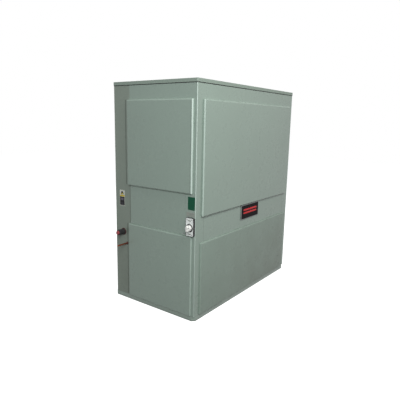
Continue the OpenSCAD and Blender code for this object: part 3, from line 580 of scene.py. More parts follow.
def makeSkin(place, p, name, finish):
    proud, c, t = p["proud"], panelEdge["roll"] * p["proud"], sheet
    # the edge rolls over in a broad soft bevel; each pair is (inset, height)
    bend = [(a * c, proud - b * c)
            for a, b in ((0, 1), (0.06, 0.76), (0.2, 0.56), (0.56, 0.2), (0.76, 0.06), (1, 0))]
    inner = [(c + t * 0.5, proud - t), (0.56 * c + t, proud - 0.2 * c - t * 0.8), (t, proud - c), (t, 0.05)]
    s = Shape(place)
    s.loft([trayLoop(p, i, n) for i, n in inner + [(0, 0.05)] + bend])
    s.build(name + "_skin", panelBody(name), [finish], replaced=[name + "_panel"], sharp=40)


def makeLining(place, p, name):
    # wool between the skins, and the zinc inner skin with its pressed beads
    body = panelBody(name)
    u0, u1, z0, z1 = p["skin"]
    s = Shape(place)
    s.slab(roundBox(u0, z0, u1, z1, 8), (p["proud"] - 2.2, -11.8))
    s.build(name + "_wool", body, ["wool"], 1.2)
    s = Shape(place)
    s.loft(insetLoops(u0, z0, u1, z1, ((-10, 0), (-12.2, 0), (-13, 0.8)), 9))
    half, short = 14, 60
    for k in range(1, 4):
        u = u0 + k * (u1 - u0) / 4
        s.loft(insetLoops(u - half, z0 + short, u + half, z1 - short, ((-12.6, 3), (-11.2, 5)), 10, True))
    s.build(name + "_inner", body, ["zinc"], sharp=40)


def makeGasket(place, p, name):
    (a0, a1), (b0, b1) = p["u"], p["z"]
    gap, strip = panelEdge["gap"], panelEdge["strip"]
    far = gap + strip
    s = Shape(place)
    for u0, u1, z0, z1 in ((a0 + gap, a1 - gap, b1 - far, b1 - gap), (a0 + gap, a1 - gap, b0 + gap, b0 + far),
                           (a0 + gap, a0 + far, b0 + far + 0.5, b1 - far - 0.5),
                           (a1 - far, a1 - gap, b0 + far + 0.5, b1 - far - 0.5)):
        s.box(u0, u1, 0.3, 5.3, z0, z1)
    s.build(name + "_gasket", panelBody(name), ["gasket"], 1.0)


def makeScrews(place, p, name):
    s = Shape(place)
    for u, z in p["screws"]:
        screwHead(s, u, p["proud"] - 1.4, z, 4.2, 1.35)
    s.build(name + "_screws", panelBody(name), ["enamel_dark"], sharp=30)


for name, (side, tray, finish) in panels.items():
    makeSkin(sides[side], trays[tray], name, finish)
    makeLining(sides[side], trays[tray], name)
    makeGasket(sides[side], trays[tray], name)
for name, (side, tray, _) in panels.items():
    makeScrews(sides[side], trays[tray], name)

cover = {"y": (-317.5, 237.5), "z": (652.1, 957.9), "corner": 2.5, "screwIn": 14, "screwUp": 12}


def makeCover():
    (y0, y1), (z0, z1) = cover["y"], cover["z"]
    s = Shape(sides["left"])
    s.loft(insetLoops(y0, z0, y1, z1, ((-1.6, 0), (-0.5, 0), (-0.12, 0.15), (0, 0.5)), cover["corner"]))
    for z in (z0 + cover["screwUp"], z1 - cover["screwUp"]):
        for u in (y0 + cover["screwIn"], y1 - cover["screwIn"]):
            screwHead(s, u, 0.0, z, 3.6, 2.6, 1)
    s.build("control_cover_skin", "cover", ["enamel", "screw"], replaced=["control_cover"],
            sharp=40)


makeCover()

door = {"y": (323.5, 399), "z": (84, 754), "corner": 5, "fastenerIn": 12, "fastenerUp": 60}


def makeDoor():
    (y0, y1), (z0, z1) = door["y"], door["z"]
    s = Shape(sides["right"])
    rim = ((7.2, 1.6), (0.05, 1.6), (0.05, 0), (6, 0), (7.8, 0.6), (9, 2.4))
    s.loft(insetLoops(y0, z0, y1, z1, rim, door["corner"]))
    for z in (z0 + door["fastenerUp"], z1 - door["fastenerUp"]):  # quarter turn fasteners
        u = y1 - door["fastenerIn"]
        s.lathe([(8.9, 0.5), (8.9, 9), (11.2, 9), (12.2, 8), (12.2, 0.5)], (u, 0, z), "y", 40, 1)
        s.box(u - 6.5, u + 6.5, 12.0, 12.9, z - 1.2, z + 1.2, 1)
    s.build("filter_door_skin", "door", ["enamel", "screw"], replaced=["filter_door"],
            sharp=36)


makeDoor()
print("panels made")

nameplate = {"x": (-133, 157), "z": (666, 788), "corner": 7, "rim": 3.4, "stripeX": (-98, 122), "stripeH": 14,
             "stripeZ": (738, 712)}


def makeNameplate():
    # a black plate with a thin bright rim and two plain red stripes
    d = nameplate
    (x0, x1), (z0, z1), (a, b) = d["x"], d["z"], d["stripeX"]
    s = Shape(sides["front"])
    s.loft(insetLoops(x0, z0, x1, z1, ((0.05, 0), (6.6, 0), (7.6, 0.9), (8, 2)), d["corner"], True), 1)
    s.slab(insetBox(x0, z0, x1, z1, 4, 4), (6, 7.3))
    s.slab(insetBox(x0, z0, x1, z1, d["rim"], 4.5), (7.9, 8.15))
    for low in d["stripeZ"]:
        s.slab(roundBox(a, low, b, low + d["stripeH"], 2), (8.1, 8.6), 2)
    s.build("nameplate_face", "cabinet", ["plate_black", "rim", "plate_red"], replaced=["nameplate"],
            sharp=30)


makeNameplate()


serviceLabel = {"y": (304, 362), "z": (784, 912), "edge": 2.5, "black": (787, 858), "yellow": (860, 872),
                "mauve": (829, 847), "figure": 877, "ruleZ": 793, "ruleIn": 12, "ruleGap": 7, "rules": 3}


def makeServiceLabel():
    # a white film with plain coloured fields and rules, no lettering
    d = serviceLabel
    (y0, y1), (z0, z1), edge, mid = d["y"], d["z"], d["edge"], sum(d["y"]) / 2
    s = Shape(sides["left"])
    s.slab(roundBox(y0, z0, y1, z1, 4), (0.02, 0.35))

    def patch(points, mark, n=0.56):
        s.slab(points, (0.3, n), mark)

    def strip(u0, u1, low, high):
        return [(u0, low), (u1, low), (u1, high), (u0, high)]
    patch(roundBox(y0 + edge, d["black"][0], y1 - edge, d["black"][1], 2), 2, 0.5)
    patch(strip(y0 + edge, y1 - edge, *d["yellow"]), 1, 0.5)
    z = d["figure"]
    patch([(mid + u, z + v) for u, v in ((-17, 0), (17, 0), (11, 19), (4, 26), (-4, 26), (-11, 19))], 2, 0.5)
    patch([(mid + u, z + v) for u, v in ((-9, 0.5), (9, 0.5), (5, 11), (-5, 11))], 1)
    patch(roundBox(mid - 14, d["mauve"][0], mid + 15, d["mauve"][1], 3), 3)
    for k in range(d["rules"]):  # every second rule is shorter
        z = d["ruleZ"] + k * d["ruleGap"]
        patch(strip(y0 + d["ruleIn"], y1 - d["ruleIn"] - 6 * (k % 2), z, z + 1), 3)
    s.build("service_label_film", "cabinet", ["label_white", "label_yellow", "label_black", "label_mauve"],
            replaced=["service_label"], sharp=30)


makeServiceLabel()

# low and high y, low and high z
sideLabels = {"green": (-403, -341, 846, 941), "grey": (-403, -329, 798, 828),
              "border": 3, "rules": 4, "ruleGap": 6}


def makeSideLabels():
    d = sideLabels
    s = Shape(sides["left"])
    y0, y1, z0, z1 = d["green"]
    s.slab(roundBox(y0, z0, y1, z1, 3), (0.02, 0.45))
    s.slab(insetBox(y0, z0, y1, z1, d["border"], 2), (0.4, 0.55), 1)
    y0, y1, z0, z1 = d["grey"]
    s.slab(roundBox(y0, z0, y1, z1, 3), (0.02, 0.4), 2)
    for k in range(d["rules"]):  # plain rules, no lettering
        z = z0 + 4.5 + k * d["ruleGap"]
        s.box(y0 + 5, y1 - 11 - 9 * (k % 3), 0.35, 0.48, z, z + 1.8, 3)
    s.build("side_label_films", "cabinet", ["label_green", "label_green", "label_grey", "enamel_dark"],
            replaced=["side_labels"], sharp=30)


makeSideLabels()

# heights above the wall: bed under the plate, plate's face, knob's face and the grip's tip
switch = {"y": -370, "z0": 656, "w": 76, "h": 137, "knobZ": 718, "rim": 6, "dial": 30,
          "bed": 16.1, "plate": 17.5, "face": 41.5, "tip": 55.4, "knobR": 21.8, "lobes": 12,
          "lobeR": 0.9, "screws": (22, 13)}


def crossing(outline, cx, cy, angle):
    # where a ray from the centre crosses a closed outline
    dx, dy = cos(angle), sin(angle)
    best = None
    for i, (x0, y0) in enumerate(outline):
        x1, y1 = outline[(i + 1) % len(outline)]
        ex, ey = x1 - x0, y1 - y0
        det = dx * -ey + ex * dy
        if abs(det) < 1e-9:
            continue
        t = ((x0 - cx) * -ey + ex * (y0 - cy)) / det
        q = (dx * (y0 - cy) - dy * (x0 - cx)) / det
        if t > 0 and -1e-6 <= q <= 1 + 1e-6 and (best is None or t > best):
            best = t
    return (cx + dx * best, cy + dy * best)


def makeSwitch():
    d, y, kz = switch, switch["y"], switch["knobZ"]
    z0, z1, half = d["z0"], d["z0"] + d["h"], d["w"] / 2
    s = Shape(sides["left"])
    steps = ((0.05, 0), (2.5, 0), (2.9, 1.2), (13.2, 1.2), (15.2, 1.9), (16, 3.2))
    s.loft(insetLoops(y - half, z0, y + half, z1, steps, 9, True))
    r, plate = d["dial"], d["plate"]
    s.lathe([(plate - 1.9, r), (plate - 0.6, r), (plate, r - 0.8), (plate, 0.5)], (y, 0, kz), "y", 64)
    s.build("switch_base_shell", "cabinet", ["black"], replaced=["switch_base"])
    makeSwitchPlate(y, kz, z0, z1)
    makeKnob(y, kz)


def makeSwitchPlate(y, kz, z0, z1):
    # a pale plate round the dial, with its screws, marks and grey fields
    d, plate, steps = switch, switch["plate"], 64
    s = Shape(sides["left"])
    half, hole = d["w"] / 2 - d["rim"], d["dial"] + 1
    outer = roundBox(y - half, z0 + 3, y + half, z1 - 3, 7, 6)
    ring = [(y + hole * c, kz + hole * q) for c, q in circle(steps)]
    rimLoop = [crossing(outer, y, kz, atan2(q, c)) for c, q in circle(steps)]
    s.loft([[(u, n, z) for u, z in pts] for pts, n in
            ((ring, d["bed"]), (ring, plate), (rimLoop, plate), (rimLoop, d["bed"]))], ring=True)
    across, up = d["screws"]
    for u, z in ((y - across, z1 - up), (y + across, z1 - up), (y - across, z0 + up), (y + across, z0 + up)):
        s.lathe([(17.2, 4.6), (18.0, 4.6), (18.6, 3.4), (18.6, 0.3)], (u, 0, z), "y", 24, 1)
        # a black bar across each head: painted shade of its slot
        s.box(u - 3, u + 3, 18.2, 18.75, z - 0.5, z + 0.5, 2)
    s.box(y - 1.6, y + 1.6, 17.4, 17.75, kz + 33, kz + 41, 2)  # mark for one end of the turn
    s.box(y - 13, y + 13, 17.4, 17.7, z0 + 12, z0 + 22, 3)
    s.box(y - 12, y + 15, 17.4, 17.7, z1 - 25, z1 - 17, 3)
    s.build("switch_plate_face", "cabinet", ["pale", "screw", "black", "label_grey"], 0.3,
            replaced=["switch_plate"], sharp=30)


def makeKnob(y, kz):
    d, face, tip, steps = switch, switch["face"], switch["tip"], 96
    s = Shape(sides["left"])
    skirt = [(c, g, d["knobR"] + d["lobeR"] * cos(d["lobes"] * 2 * pi * k / steps))  # scalloped
             for k, (c, g) in enumerate(circle(steps))]
    s.loft([[(y + c * (r - q), n, kz + g * (r - q)) for c, g, r in skirt]
            for n, q in ((d["plate"] + 0.45, 0), (face - 2.2, 0.6), (face - 0.8, 1.3), (face, 2.8))])
    s.lathe([(face - 1, 15.5), (face + 1, 15.2), (face + 1.6, 14.2), (face + 1.6, 0.4)], (y, 0, kz), "y", 48)
    grip = [(-6.6, -17), (-5, -20.6), (5, -20.6), (6.6, -17), (6.6, 13), (0, 21.6), (-6.6, 13)]
    s.loft([[(y + u * q, n, kz + v * q) for u, v in grip]
            for n, q in ((face - 1, 1), (tip - 1.8, 0.97), (tip - 0.4, 0.9), (tip, 0.8))])
    s.box(y - 0.9, y + 0.9, tip - 0.2, tip + 0.1, kz + 4, kz + 14, 1)
    shadeDisc = [(face + 0.3, 3.4), (face + 1.75, 3.4), (face + 1.75, 0.3)]
    for u in (-10.23, 10.23):  # black discs beside the grip: painted shade of the grip
        s.lathe(shadeDisc, (y + u, 0, kz + 4), "y", 20, 1)
    s.build("switch_knob_grip", "knob", ["white", "black"], 0.7, replaced=["switch_knob"],
            sharp=30)


makeSwitch()
print("plates and switch made")

# tubes lie in three rows, the middle one at y; a pipe's end stands out from the wall by its reach
coil = {"x": 600, "y": 250, "z": (60.2, 799.8), "deep": 44.8, "row": 30, "tubeZ": 107, "pitch": 38,
        "tubes": 18, "tubeR": 4.8, "plate": 603, "finT": 0.35, "finPitch": 3.6}
suction = {"y": 322, "z": 570, "reach": 72, "headerX": -672, "headerZ": 92, "bend": 40, "r": 14}
liquid = {"y": 280, "z": 478, "reach": 105, "headerX": -640, "r": 6.35, "valveX": -689}


def rowY(row):
    return coil["y"] + row * coil["row"]


def tubeZ(k):
    return coil["tubeZ"] + k * coil["pitch"]


def makeStubs(s, x, y):
    # short tubes from a header to every third tube of the coil
    for k in range(0, coil["tubes"], 3):
        s.rod((x, y, tubeZ(k)), (-coil["plate"] + 0.2, y, tubeZ(k)), coil["tubeR"], 16)


def makeSuction():
    d, y0 = suction, rowY(-1)
    x, y, z, bend, end = d["headerX"], d["y"], d["z"], d["bend"], -hx - d["reach"]
    tall = tubeZ(15) + 30 - d["headerZ"]
    s = Shape()
    half = [(-tall / 2, 9), (1.5 - tall / 2, 14), (5 - tall / 2, 17), (9 - tall / 2, 17.5)]
    s.lathe(bothWays(half), (x, y0, d["headerZ"] + tall / 2), "z", 48)
    turn = [(x, v) for v in (y0, 240, 260)] + arc(x - bend, y - bend, bend, 0, 90, 10)
    s.tube([p + (z,) for p in turn] + [(-760, y, z), (end + 9, y, z)], d["r"], 40)
    s.lathe([(0.1, 0.4), (0, 12.4), (0.8, 13.9), (2.4, 14.6), (11.6, 14.8), (12.2, 14.1)],
            (end, y, z), "x", 48, 1)  # plastic cap pushed over the end
    makeStubs(s, x + 12, y0)
    for k in range(0, coil["tubes"], 3):
        s.lathe([(-656, 6.4), (-652.5, 6.9), (-651, 5.2)], (0, y0, tubeZ(k)), "x", 20)
    s.build("suction_pipe_run", "cabinet", ["copper", "red_cap"], replaced=["suction_pipe"],
            sharp=30)
    s = Shape()
    sleeve = [(12.4, 15.2), (12.8, 19), (15, 22.6), (19, 23.4), (38, 23.1), (58, 23.5), (79.5, 23.4),
              (79.8, 15)]
    s.lathe(sleeve, (end, y, z), "x", 56)
    for a in (20, 95, 170, 250, 320):  # creases in the sleeve
        s.rod(*((h, y + r * cos(t), z + r * sin(t))
                for h, r, t in ((-811, 22.9, radians(a)), (-765, 23.0, radians(a) + 0.3))), 0.5, 6)
    s.build("suction_sleeve_foam", "cabinet", ["foam"], replaced=["suction_sleeve"], sharp=50)


def makeGrommets():
    s = Shape()
    for y, z, r0, r1 in ((suction["y"], suction["z"], 23.5, 30), (liquid["y"], liquid["z"], 6.1, 12)):
        lip = [(-0.02, r0), (-3.8, r0), (-5, (r0 * 2 + r1) / 3), (-4.6, (r0 + r1 * 2) / 3), (-3.2, r1 - 0.5),
               (-1.4, r1), (-0.02, r1 - 0.6)]
        inside = [(1.7, r0), (4.4, r0), (4.6, r0 + 4.5), (1.7, r0 + 4.8)]
        for profile in (lip, inside):
            s.lathe(profile, (-hx, y, z), "x", 48, 0, True)
    s.build("pipe_grommet_rings", "cabinet", ["grommet"], replaced=["pipe_grommets"], sharp=50)


def makeLiquid():
    d, y1 = liquid, rowY(1)
    x, y, z, r, end, step = d["headerX"], d["y"], d["z"], d["r"], -hx - d["reach"], -764
    s = Shape()
    s.rod((step, y, z), (x, y, z), r - 0.3, 24)
    pipe = [(end, r - 1.95), (end, r - 0.75), (end + 0.7, r), (step - 0.4, r), (step, r - 0.3)]
    s.lathe(pipe, (0, y, z), "x", 32)
    s.lathe([(9, 0.3), (0.6, 0.3), (0.4, 4.6), (9, 4.6)], (end, y, z), "x", 24, 2, True)  # plastic plug
    s.lathe([(87, 3), (88, 7), (90, 8), (715, 8), (717, 7), (718, 3)], (x, y1, 0), "z", 32)
    valve = [(-17, 9), (-16, 14), (-11, 15), (-5, 15), (-3, 12), (3, 12), (5, 15), (13, 15), (17, 9)]
    dome = [(0, 9), (10, 11), (24, 11), (25, 15), (27, 17), (34, 17), (37, 13), (38, 4)]
    s.lathe(valve, (d["valveX"], y, z), "x", 36, 1)
    s.lathe(dome, (d["valveX"], y, z), "z", 36, 1)
    makeStubs(s, x + 6, y1)
    s.build("liquid_pipe_run", "cabinet", ["copper", "bearing", "red_cap"], replaced=["liquid_pipe"],
            sharp=30)


makeSuction()
makeGrommets()
makeLiquid()


def makeFins():
    # thin fins, each leaning a little its own way, and the tubes through them
    d, rng = coil, random.Random(4)
    (z0, z1), thin, x = d["z"], d["finT"], -d["x"] + 0.4
    y0, y1 = d["y"] - d["deep"], d["y"] + d["deep"]
    s = Shape()
    while x < d["x"] - 1:
        lean = rng.uniform(-0.25, 0.25)
        foot = [(x, y0), (x + thin, y0), (x + thin + lean, y1), (x + lean, y1)]
        s.prism(foot, z0, z1)
        x += d["finPitch"]
    for row in (-1, 0, 1):
        for k in range(d["tubes"]):
            s.rod(*((h, rowY(row), tubeZ(k)) for h in (0.2 - d["x"], d["x"] - 0.2)), d["tubeR"] + 0.1, 8, 1)
    s.build("coil_fin_pack", "cabinet", ["fins", "copper"], replaced=["coil_fins"])
    dress("coil_plates", "zinc", 0.3)


def makeBends():
    # return bends between neighbouring tubes, with a soldered collar at each foot
    d, r = coil, coil["pitch"] / 2
    s = Shape()
    spots = [(-1, 0, k) for k in range(0, d["tubes"] - 1, 2)]
    spots += [(-1, row, k) for row in (-1, 1) for k in range(1, d["tubes"] - 1, 3)]
    spots += [(1, row, k) for row in (-1, 0, 1) for k in range(1, d["tubes"] - 2, 2)]
    for end, row, k in spots:
        y, z = rowY(row), tubeZ(k)
        s.tube([(end * u, y, v) for u, v in arc(d["plate"], z + r, r, -90, 90, 14)], d["tubeR"], 14)
        for foot in (z, z + d["pitch"]):
            s.lathe([(end * h, q) for h, q in ((0.1, 7.2), (1.6, 6.8), (2.0, 5.2), (2.0, 4.6))],
                    (end * d["plate"], y, foot), "x", 14)
    s.build("coil_return_bends", "cabinet", ["copper"], replaced=["coil_bends"], sharp=50)


makeFins()
makeBends()

filters = {"x": 685.5, "y": (336, 384), "z": (100.1, 735.5), "gap": 0.4, "card": 1.6, "frame": 24, "bar": 8,
           "pleats": 60, "glueFrom": 45, "gluePitch": 40}


def makeFilterFrame(name, body, x0, x1):
    d = filters
    (y0, y1), (z0, z1), card, half, w = d["y"], d["z"], d["card"], d["bar"], d["frame"]
    s = Shape()
    edge, window = roundBox(x0, z0, x1, z1, 2), insetBox(x0, z0, x1, z1, w, 9)
    for n0, n1 in ((y0, y0 + card), (y1 - card, y1)):  # card faces, cut open over the pleats
        s.loft([[(x, n, z) for x, z in pts]
                for pts, n in ((edge, n0), (edge, n1), (window, n1), (window, n0))], ring=True)
        for k in (1, 2):
            z = z0 + k * (z1 - z0) / 3
            s.box(x0 + w - 4, x1 - w + 4, n0 + 0.1, n1 - 0.1, z - half, z + half)
        x = (x0 + x1) / 2
        s.box(x - half, x + half, n0 + 0.15, n1 - 0.15, z0 + w - 4, z1 - w + 4)
    low, high, lap = y0 + card + 0.1, y1 - card - 0.1, card + 0.1
    s.box(x0, x0 + card, low, high, z0 + 0.5, z1 - 0.5)
    s.box(x1 - card, x1, low, high, z0 + 0.5, z1 - 0.5)
    s.box(x0 + lap, x1 - lap, low, high, z0 + 0.1, z0 + lap)
    s.box(x0 + lap, x1 - lap, low, high, z1 - lap, z1 - 0.1)
    s.build("filter_" + name + "_frame", body, ["card"], 0.4, replaced=["filter_" + name])


def makePleats(name, body, x0, x1):
    d, n = filters, filters["pleats"]
    (y0, y1), (z0, z1), w = d["y"], d["z"], d["frame"]
    a, b = y0 + 3.5, y1 - 4
    front = [(x0 + 4 + (x1 - x0 - 8) * k / n, a if k % 2 else b) for k in range(n + 1)]
    back = [(x, y + 0.7) for x, y in front][::-1]
    s = Shape()
    s.prism(front + back, z0 + 2, z1 - 2)
    for k in range(int((z1 - z0 - 60) / d["gluePitch"])):  # glue lines and wires across the pleats
        z = z0 + d["glueFrom"] + k * d["gluePitch"]
        for y, mark in ((a - 0.6, 0), (b + 1, 1)):
            s.rod((x0 + w, y, z), (x1 - w, y, z), 0.55, 6, mark)
    s.build("filter_" + name + "_pleats", body, ["pleats", "zinc"])


width = 2 * filters["x"] / 3
for i, name in enumerate(("left", "middle", "right")):
    x0 = i * width - filters["x"] + filters["gap"]
    for make in (makeFilterFrame, makePleats):
        make(name, "filter_" + "abc"[i], x0, x0 + width - 2 * filters["gap"])
print("coil and filters made")

blower = {"x": 340, "y": 40, "z": 1440, "w": 330, "r0": 167, "r1": 285, "from": 75, "steps": 96, "inlet": 130,
          "top": 1751.3, "throatTurns": (398, 425), "seam": 9, "rivetR": 143}
wheel = {"r": 152.4, "w": 300, "blades": 44, "bladeIn": 127, "bladeTurn": 11, "bladeT": 0.9, "rim": 6}


def scrollTurns():
    b = blower
    return [radians(b["from"] + (360 - b["from"]) * i / b["steps"]) for i in range(b["steps"] + 1)]


def scroll(inset):
    # the housing's outline, which widens round the wheel
    b, out = blower, []
    for i, a in enumerate(scrollTurns()):
        r = b["r0"] + (b["r1"] - b["r0"]) * i / b["steps"] - inset
        out.append((b["y"] + r * cos(a), b["z"] + r * sin(a)))
    return out


def wrapPath(inset):
    # down the near wall of the throat, round the scroll and up the far wall
    b, turn = blower, scroll(inset)
    near = b["y"] + b["r0"] * cos(radians(b["from"])) + inset
    return [(near, b["top"]), (near, turn[0][1] - 0.5)] + turn + [(b["y"] + b["r1"] - inset, b["top"])]


def makeHousing(sign, side):
    b, t = blower, sheet
    x, y, z, w = sign * b["x"], b["y"], b["z"], b["w"] / 2
    s = Shape()
    strips = [(1 - w, w - 1, 3.4, 3.4 + t)]  # the wrapped sheet, then its folded seams
    strips += [tuple(sorted((k * (w - b["seam"]), k * (w - t)))) + (0, 3.2) for k in (-1, 1)]
    for h0, h1, out, back in strips:
        s.loft([[(x + h0,) + p, (x + h1,) + p, (x + h1,) + q, (x + h0,) + q]
                for p, q in zip(wrapPath(out), wrapPath(back))])
    edge = wrapPath(0)[2:] + [wrapPath(0)[0]]
    turns = scrollTurns() + [radians(a) for a in b["throatTurns"]]
    mouth = [(y + b["inlet"] * cos(a), z + b["inlet"] * sin(a)) for a in turns]
    cone = [(-22, 127.5), (-12, 128), (-2, 131), (6, 134.5), (12, 136), (12, 133.5), (6, 132), (-1, 129.2),
            (-12, 126.4), (-22, 126)]
    for k in (-1, 1):
        s.loft([[(x + h, v, u) for v, u in pts] for h, pts in
                ((k * (w - t), mouth), (k * w, mouth), (k * w, edge), (k * (w - t), edge))], ring=True)
        s.lathe([(k * (w + h), r) for h, r in cone], (x, y, z), "x", 72, 0, True)
        for c, q in circle(8, 20):  # rivets round the inlet
            s.lathe([(k * (w - 0.2), 4.6), (k * (w + 2.4), 4.4), (k * (w + 3), 3)],
                    (x, y + b["rivetR"] * c, z + b["rivetR"] * q), "x", 12, 1)
    s.build("blower_housing_" + side + "_scroll", "cabinet", ["zinc", "screw"],
            replaced=["blower_housing_" + side], sharp=28)


def setScrew(s, place, low, high, r, tip, mark):
    # between two distances above a hub's axis
    s.lathe([(low, r), (high, r), (high, tip)], place, "z", 12, mark)


def makeWheel(sign, side):
    d, centre = wheel, (sign * blower["x"], blower["y"], blower["z"])
    (x, y, z), w, r, rim = centre, d["w"] / 2, d["r"], d["rim"]
    s = Shape()
    for k in range(d["blades"]):  # curved blades
        a0 = 2 * pi * k / d["blades"]
        front, back = [], []
        for q in (i / 6 for i in range(7)):
            rr = d["bladeIn"] + (r - 1.5 - d["bladeIn"]) * q
            a = a0 + radians(d["bladeTurn"]) * q * q
            for face, turn in ((front, a), (back, a + d["bladeT"] / rr)):
                face.append((y + rr * cos(turn), z + rr * sin(turn)))
        s.loft([[(x + h,) + p for p in front + back[::-1]] for h in (2 - w, w - 2)])
    for k in (-1, 1):
        s.lathe(bothWays([(-rim / 2, r - 14), (-rim / 2, r - 0.6), (0.6 - rim / 2, r)]),
                (x + k * (w - rim / 2), y, z), "x", 88, 0, True)
    disc = [(-1.5, 28), (-1.5, 60), (-4.5, 66), (-4.5, 120), (-1.5, 126), (-1.5, r - 8),
            (1.5, r - 8), (1.5, 126), (-1.5, 120), (-1.5, 66), (1.5, 60), (1.5, 28)]
    hub = bothWays([(-30, 12.8), (-30, 22), (-28.5, 24), (-12, 24), (-8, 30)])
    s.lathe(disc, centre, "x", 88, 0, True)
    s.lathe(hub, centre, "x", 48, 1, True)
    setScrew(s, (x - 20, y, z), 20, 29.4, 4, 1.5, 2)
    s.build("fan_wheel_" + side + "_cage", "fan", ["zinc", "cast", "screw"], replaced=["fan_wheel_" + side],
            sharp=30)


for sign, side in ((-1, "left"), (1, "right")):
    makeHousing(sign, side)
    makeWheel(sign, side)
print("blowers made")

drive = {"x": -632, "end": -650, "fanR": 115, "motorR": 57, "motorY": -200, "motorZ": 1082.3, "half": 12,
         "shaftR": 12.7, "rotorR": 11.1, "groove": 12, "spokes": 5}


def pulleyProfile(r, bore):
    w, v = drive["half"], r - drive["groove"]
    hub = [(-w - 6, bore), (-w - 6, bore + 12.5), (-w - 5, bore + 14), (-5, bore + 14), (-3, bore + 18)]
    rim = bothWays([(-3, r - 24), (-5, r - 20), (-w, r - 19), (-w, r - 0.8), (0.8 - w, r), (-8.2, r),
                    (-5.2, v)])
    return hub + rim + [(3, bore + 18), (5, bore + 14), (w - 1, bore + 14), (w, bore + 12.5), (w, bore)]


def makeFanShaft():
    d, y, z, r = drive, blower["y"], blower["z"], drive["shaftR"]
    s = Shape()
    s.lathe([(d["end"], r - 1.3), (d["end"] + 1.4, r), (608.6, r), (610, r - 1.3)], (0, y, z), "x", 48)
    s.box(-649, -617, y - 3.2, y + 3.2, z + 8, z + 12.9, 1)  # key
    s.build("fan_shaft_bar", "fan", ["shaft", "shaft"], replaced=["fan_shaft"], sharp=40)
    s = Shape()
    s.lathe(pulleyProfile(d["fanR"], r + 0.05), (d["x"], y, z), "x", 96, 0, True)
    for c, q in circle(d["spokes"], 10):  # raised spokes on the web
        s.tube([(d["x"], y + h * c, z + h * q) for h in (26, 60, 93)], [8.5, 7, 8.5], 12)
    setScrew(s, (d["x"] - 14, y, z), 12, 28.5, 3.6, 1.2, 1)
    s.build("fan_pulley_cast", "fan", ["cast", "screw"], replaced=["fan_pulley"], sharp=30)


def makeMotorShaft():
    d, y, z, r = drive, drive["motorY"], drive["motorZ"], drive["rotorR"]
    s = Shape()
    s.lathe([(d["end"], r - 1.3), (d["end"] + 1.2, r), (-503.5, r), (-502, r - 1.1)], (0, y, z), "x", 40)
    s.build("motor_shaft_bar", "rotor", ["shaft"], replaced=["motor_shaft"], sharp=40)
    s = Shape()
    s.lathe(pulleyProfile(d["motorR"], r + 0.05), (d["x"], y, z), "x", 80, 0, True)
    setScrew(s, (d["x"] - 14, y, z), 12, 25.5, 3, 1, 1)
    s.build("motor_pulley_cast", "rotor", ["cast", "screw"], replaced=["motor_pulley"], sharp=30)


makeFanShaft()
makeMotorShaft()

belt = {"sunk": 9, "motorSteps": 24, "fanSteps": 32, "straight": 20}


def aroundPulley(y, z, r, start, sweep, steps):
    return [(y, z, r, start + sweep * k / steps) for k in range(steps + 1)]


def beltPoint(p, n):
    y, z, r, a = p
    return (y + (r + n) * cos(a), z + (r + n) * sin(a))


def makeBelt():
    # a wedge belt round both pulleys
    d, steps = drive, belt["straight"]
    y0, z0, y1, z1 = d["motorY"], d["motorZ"], blower["y"], blower["z"]
    r0, r1 = d["motorR"] - belt["sunk"], d["fanR"] - belt["sunk"]
    turn, half = atan2(z1 - z0, y1 - y0), pi / 2
    lean = asin((r1 - r0) / hypot(y1 - y0, z1 - z0))
    path = aroundPulley(y0, z0, r0, turn + half + lean, pi - 2 * lean, belt["motorSteps"])
    path += aroundPulley(y1, z1, r1, turn - half - lean, pi + 2 * lean, belt["fanSteps"])
    runs = []
    for i, p in enumerate(path):
        runs.append(p)
        q = path[(i + 1) % len(path)]
        if p[:2] != q[:2]:  # straight runs need points of their own
            (u, v), (u1, v1) = beltPoint(p, 0), beltPoint(q, 0)
            for k in range(1, steps):
                runs.append((u + (u1 - u) * k / steps, v + (v1 - v) * k / steps, 0, p[3]))
    section = ((0, -5.6), (7.2, -7.4), (8, -7.0), (8, 7.0), (7.2, 7.4), (0, 5.6))
    s = Shape()
    s.loft([[(d["x"] + h,) + beltPoint(p, n) for n, h in section] for p in runs], ring=True)
    s.build("belt_loop", None, ["belt"], replaced=["belt"], sharp=40,
            blend=("cabinet", "motor_carriage", (0, 0.04, 1.42), (0, -0.17, 1.10)))


makeBelt()


def hexNut(s, x, y, r, turn, levels, mark):
    # six sides between two heights
    s.loft([[(x + r * c, y + r * q, h) for c, q in circle(6, turn)] for h in levels], mark)


bearing = {"x": 580, "drop": 36.5, "bolt": 54, "nut": 7.4, "foot": ((0, 0), (11, 0), (13.4, 1.5))}


def makeBearing(x, side, replaced):
    d, y, z = bearing, blower["y"], blower["z"]
    low = z - d["drop"]
    s = Shape()
    s.loft([[(x + u, y + v, low + h) for u, v in insetBox(-18, -68, 18, 68, k, 12)] for h, k in d["foot"]])
    s.loft([[(x + u, y + v, h) for u, v in roundBox(-15, -l2, 15, l2, 6)]
            for h, l2 in ((low + 12, 44), (low + 20, 36), (z - 6, 33))])
    shell = bothWays([(-15, 13), (-15, 31), (-13, 34), (-11, 35)])
    race = bothWays([(-17.5, 12.8), (-17.5, 18), (-16, 19)])
    s.lathe(shell, (x, y, z), "x", 64, 0, True)
    s.lathe(race, (x, y, z), "x", 48, 1, True)
    nipple = [(34, 3.5), (38, 3.5), (39, 2), (41, 2.4), (42.5, 1.2)]
    s.lathe(nipple, (x, y, z - 8), "z", 12, 1)  # for grease
    for v in (y - d["bolt"], y + d["bolt"]):
        s.lathe([(13, 9), (15, 9), (15, 0.5)], (x, v, low), "z", 24, 1)
        hexNut(s, x, v, d["nut"], 12, (low + 14.6, low + 20.5), 1)
    s.build("bearing_" + side, "cabinet", ["bearing", "screw"], 0.5, sharp=34, replaced=replaced)


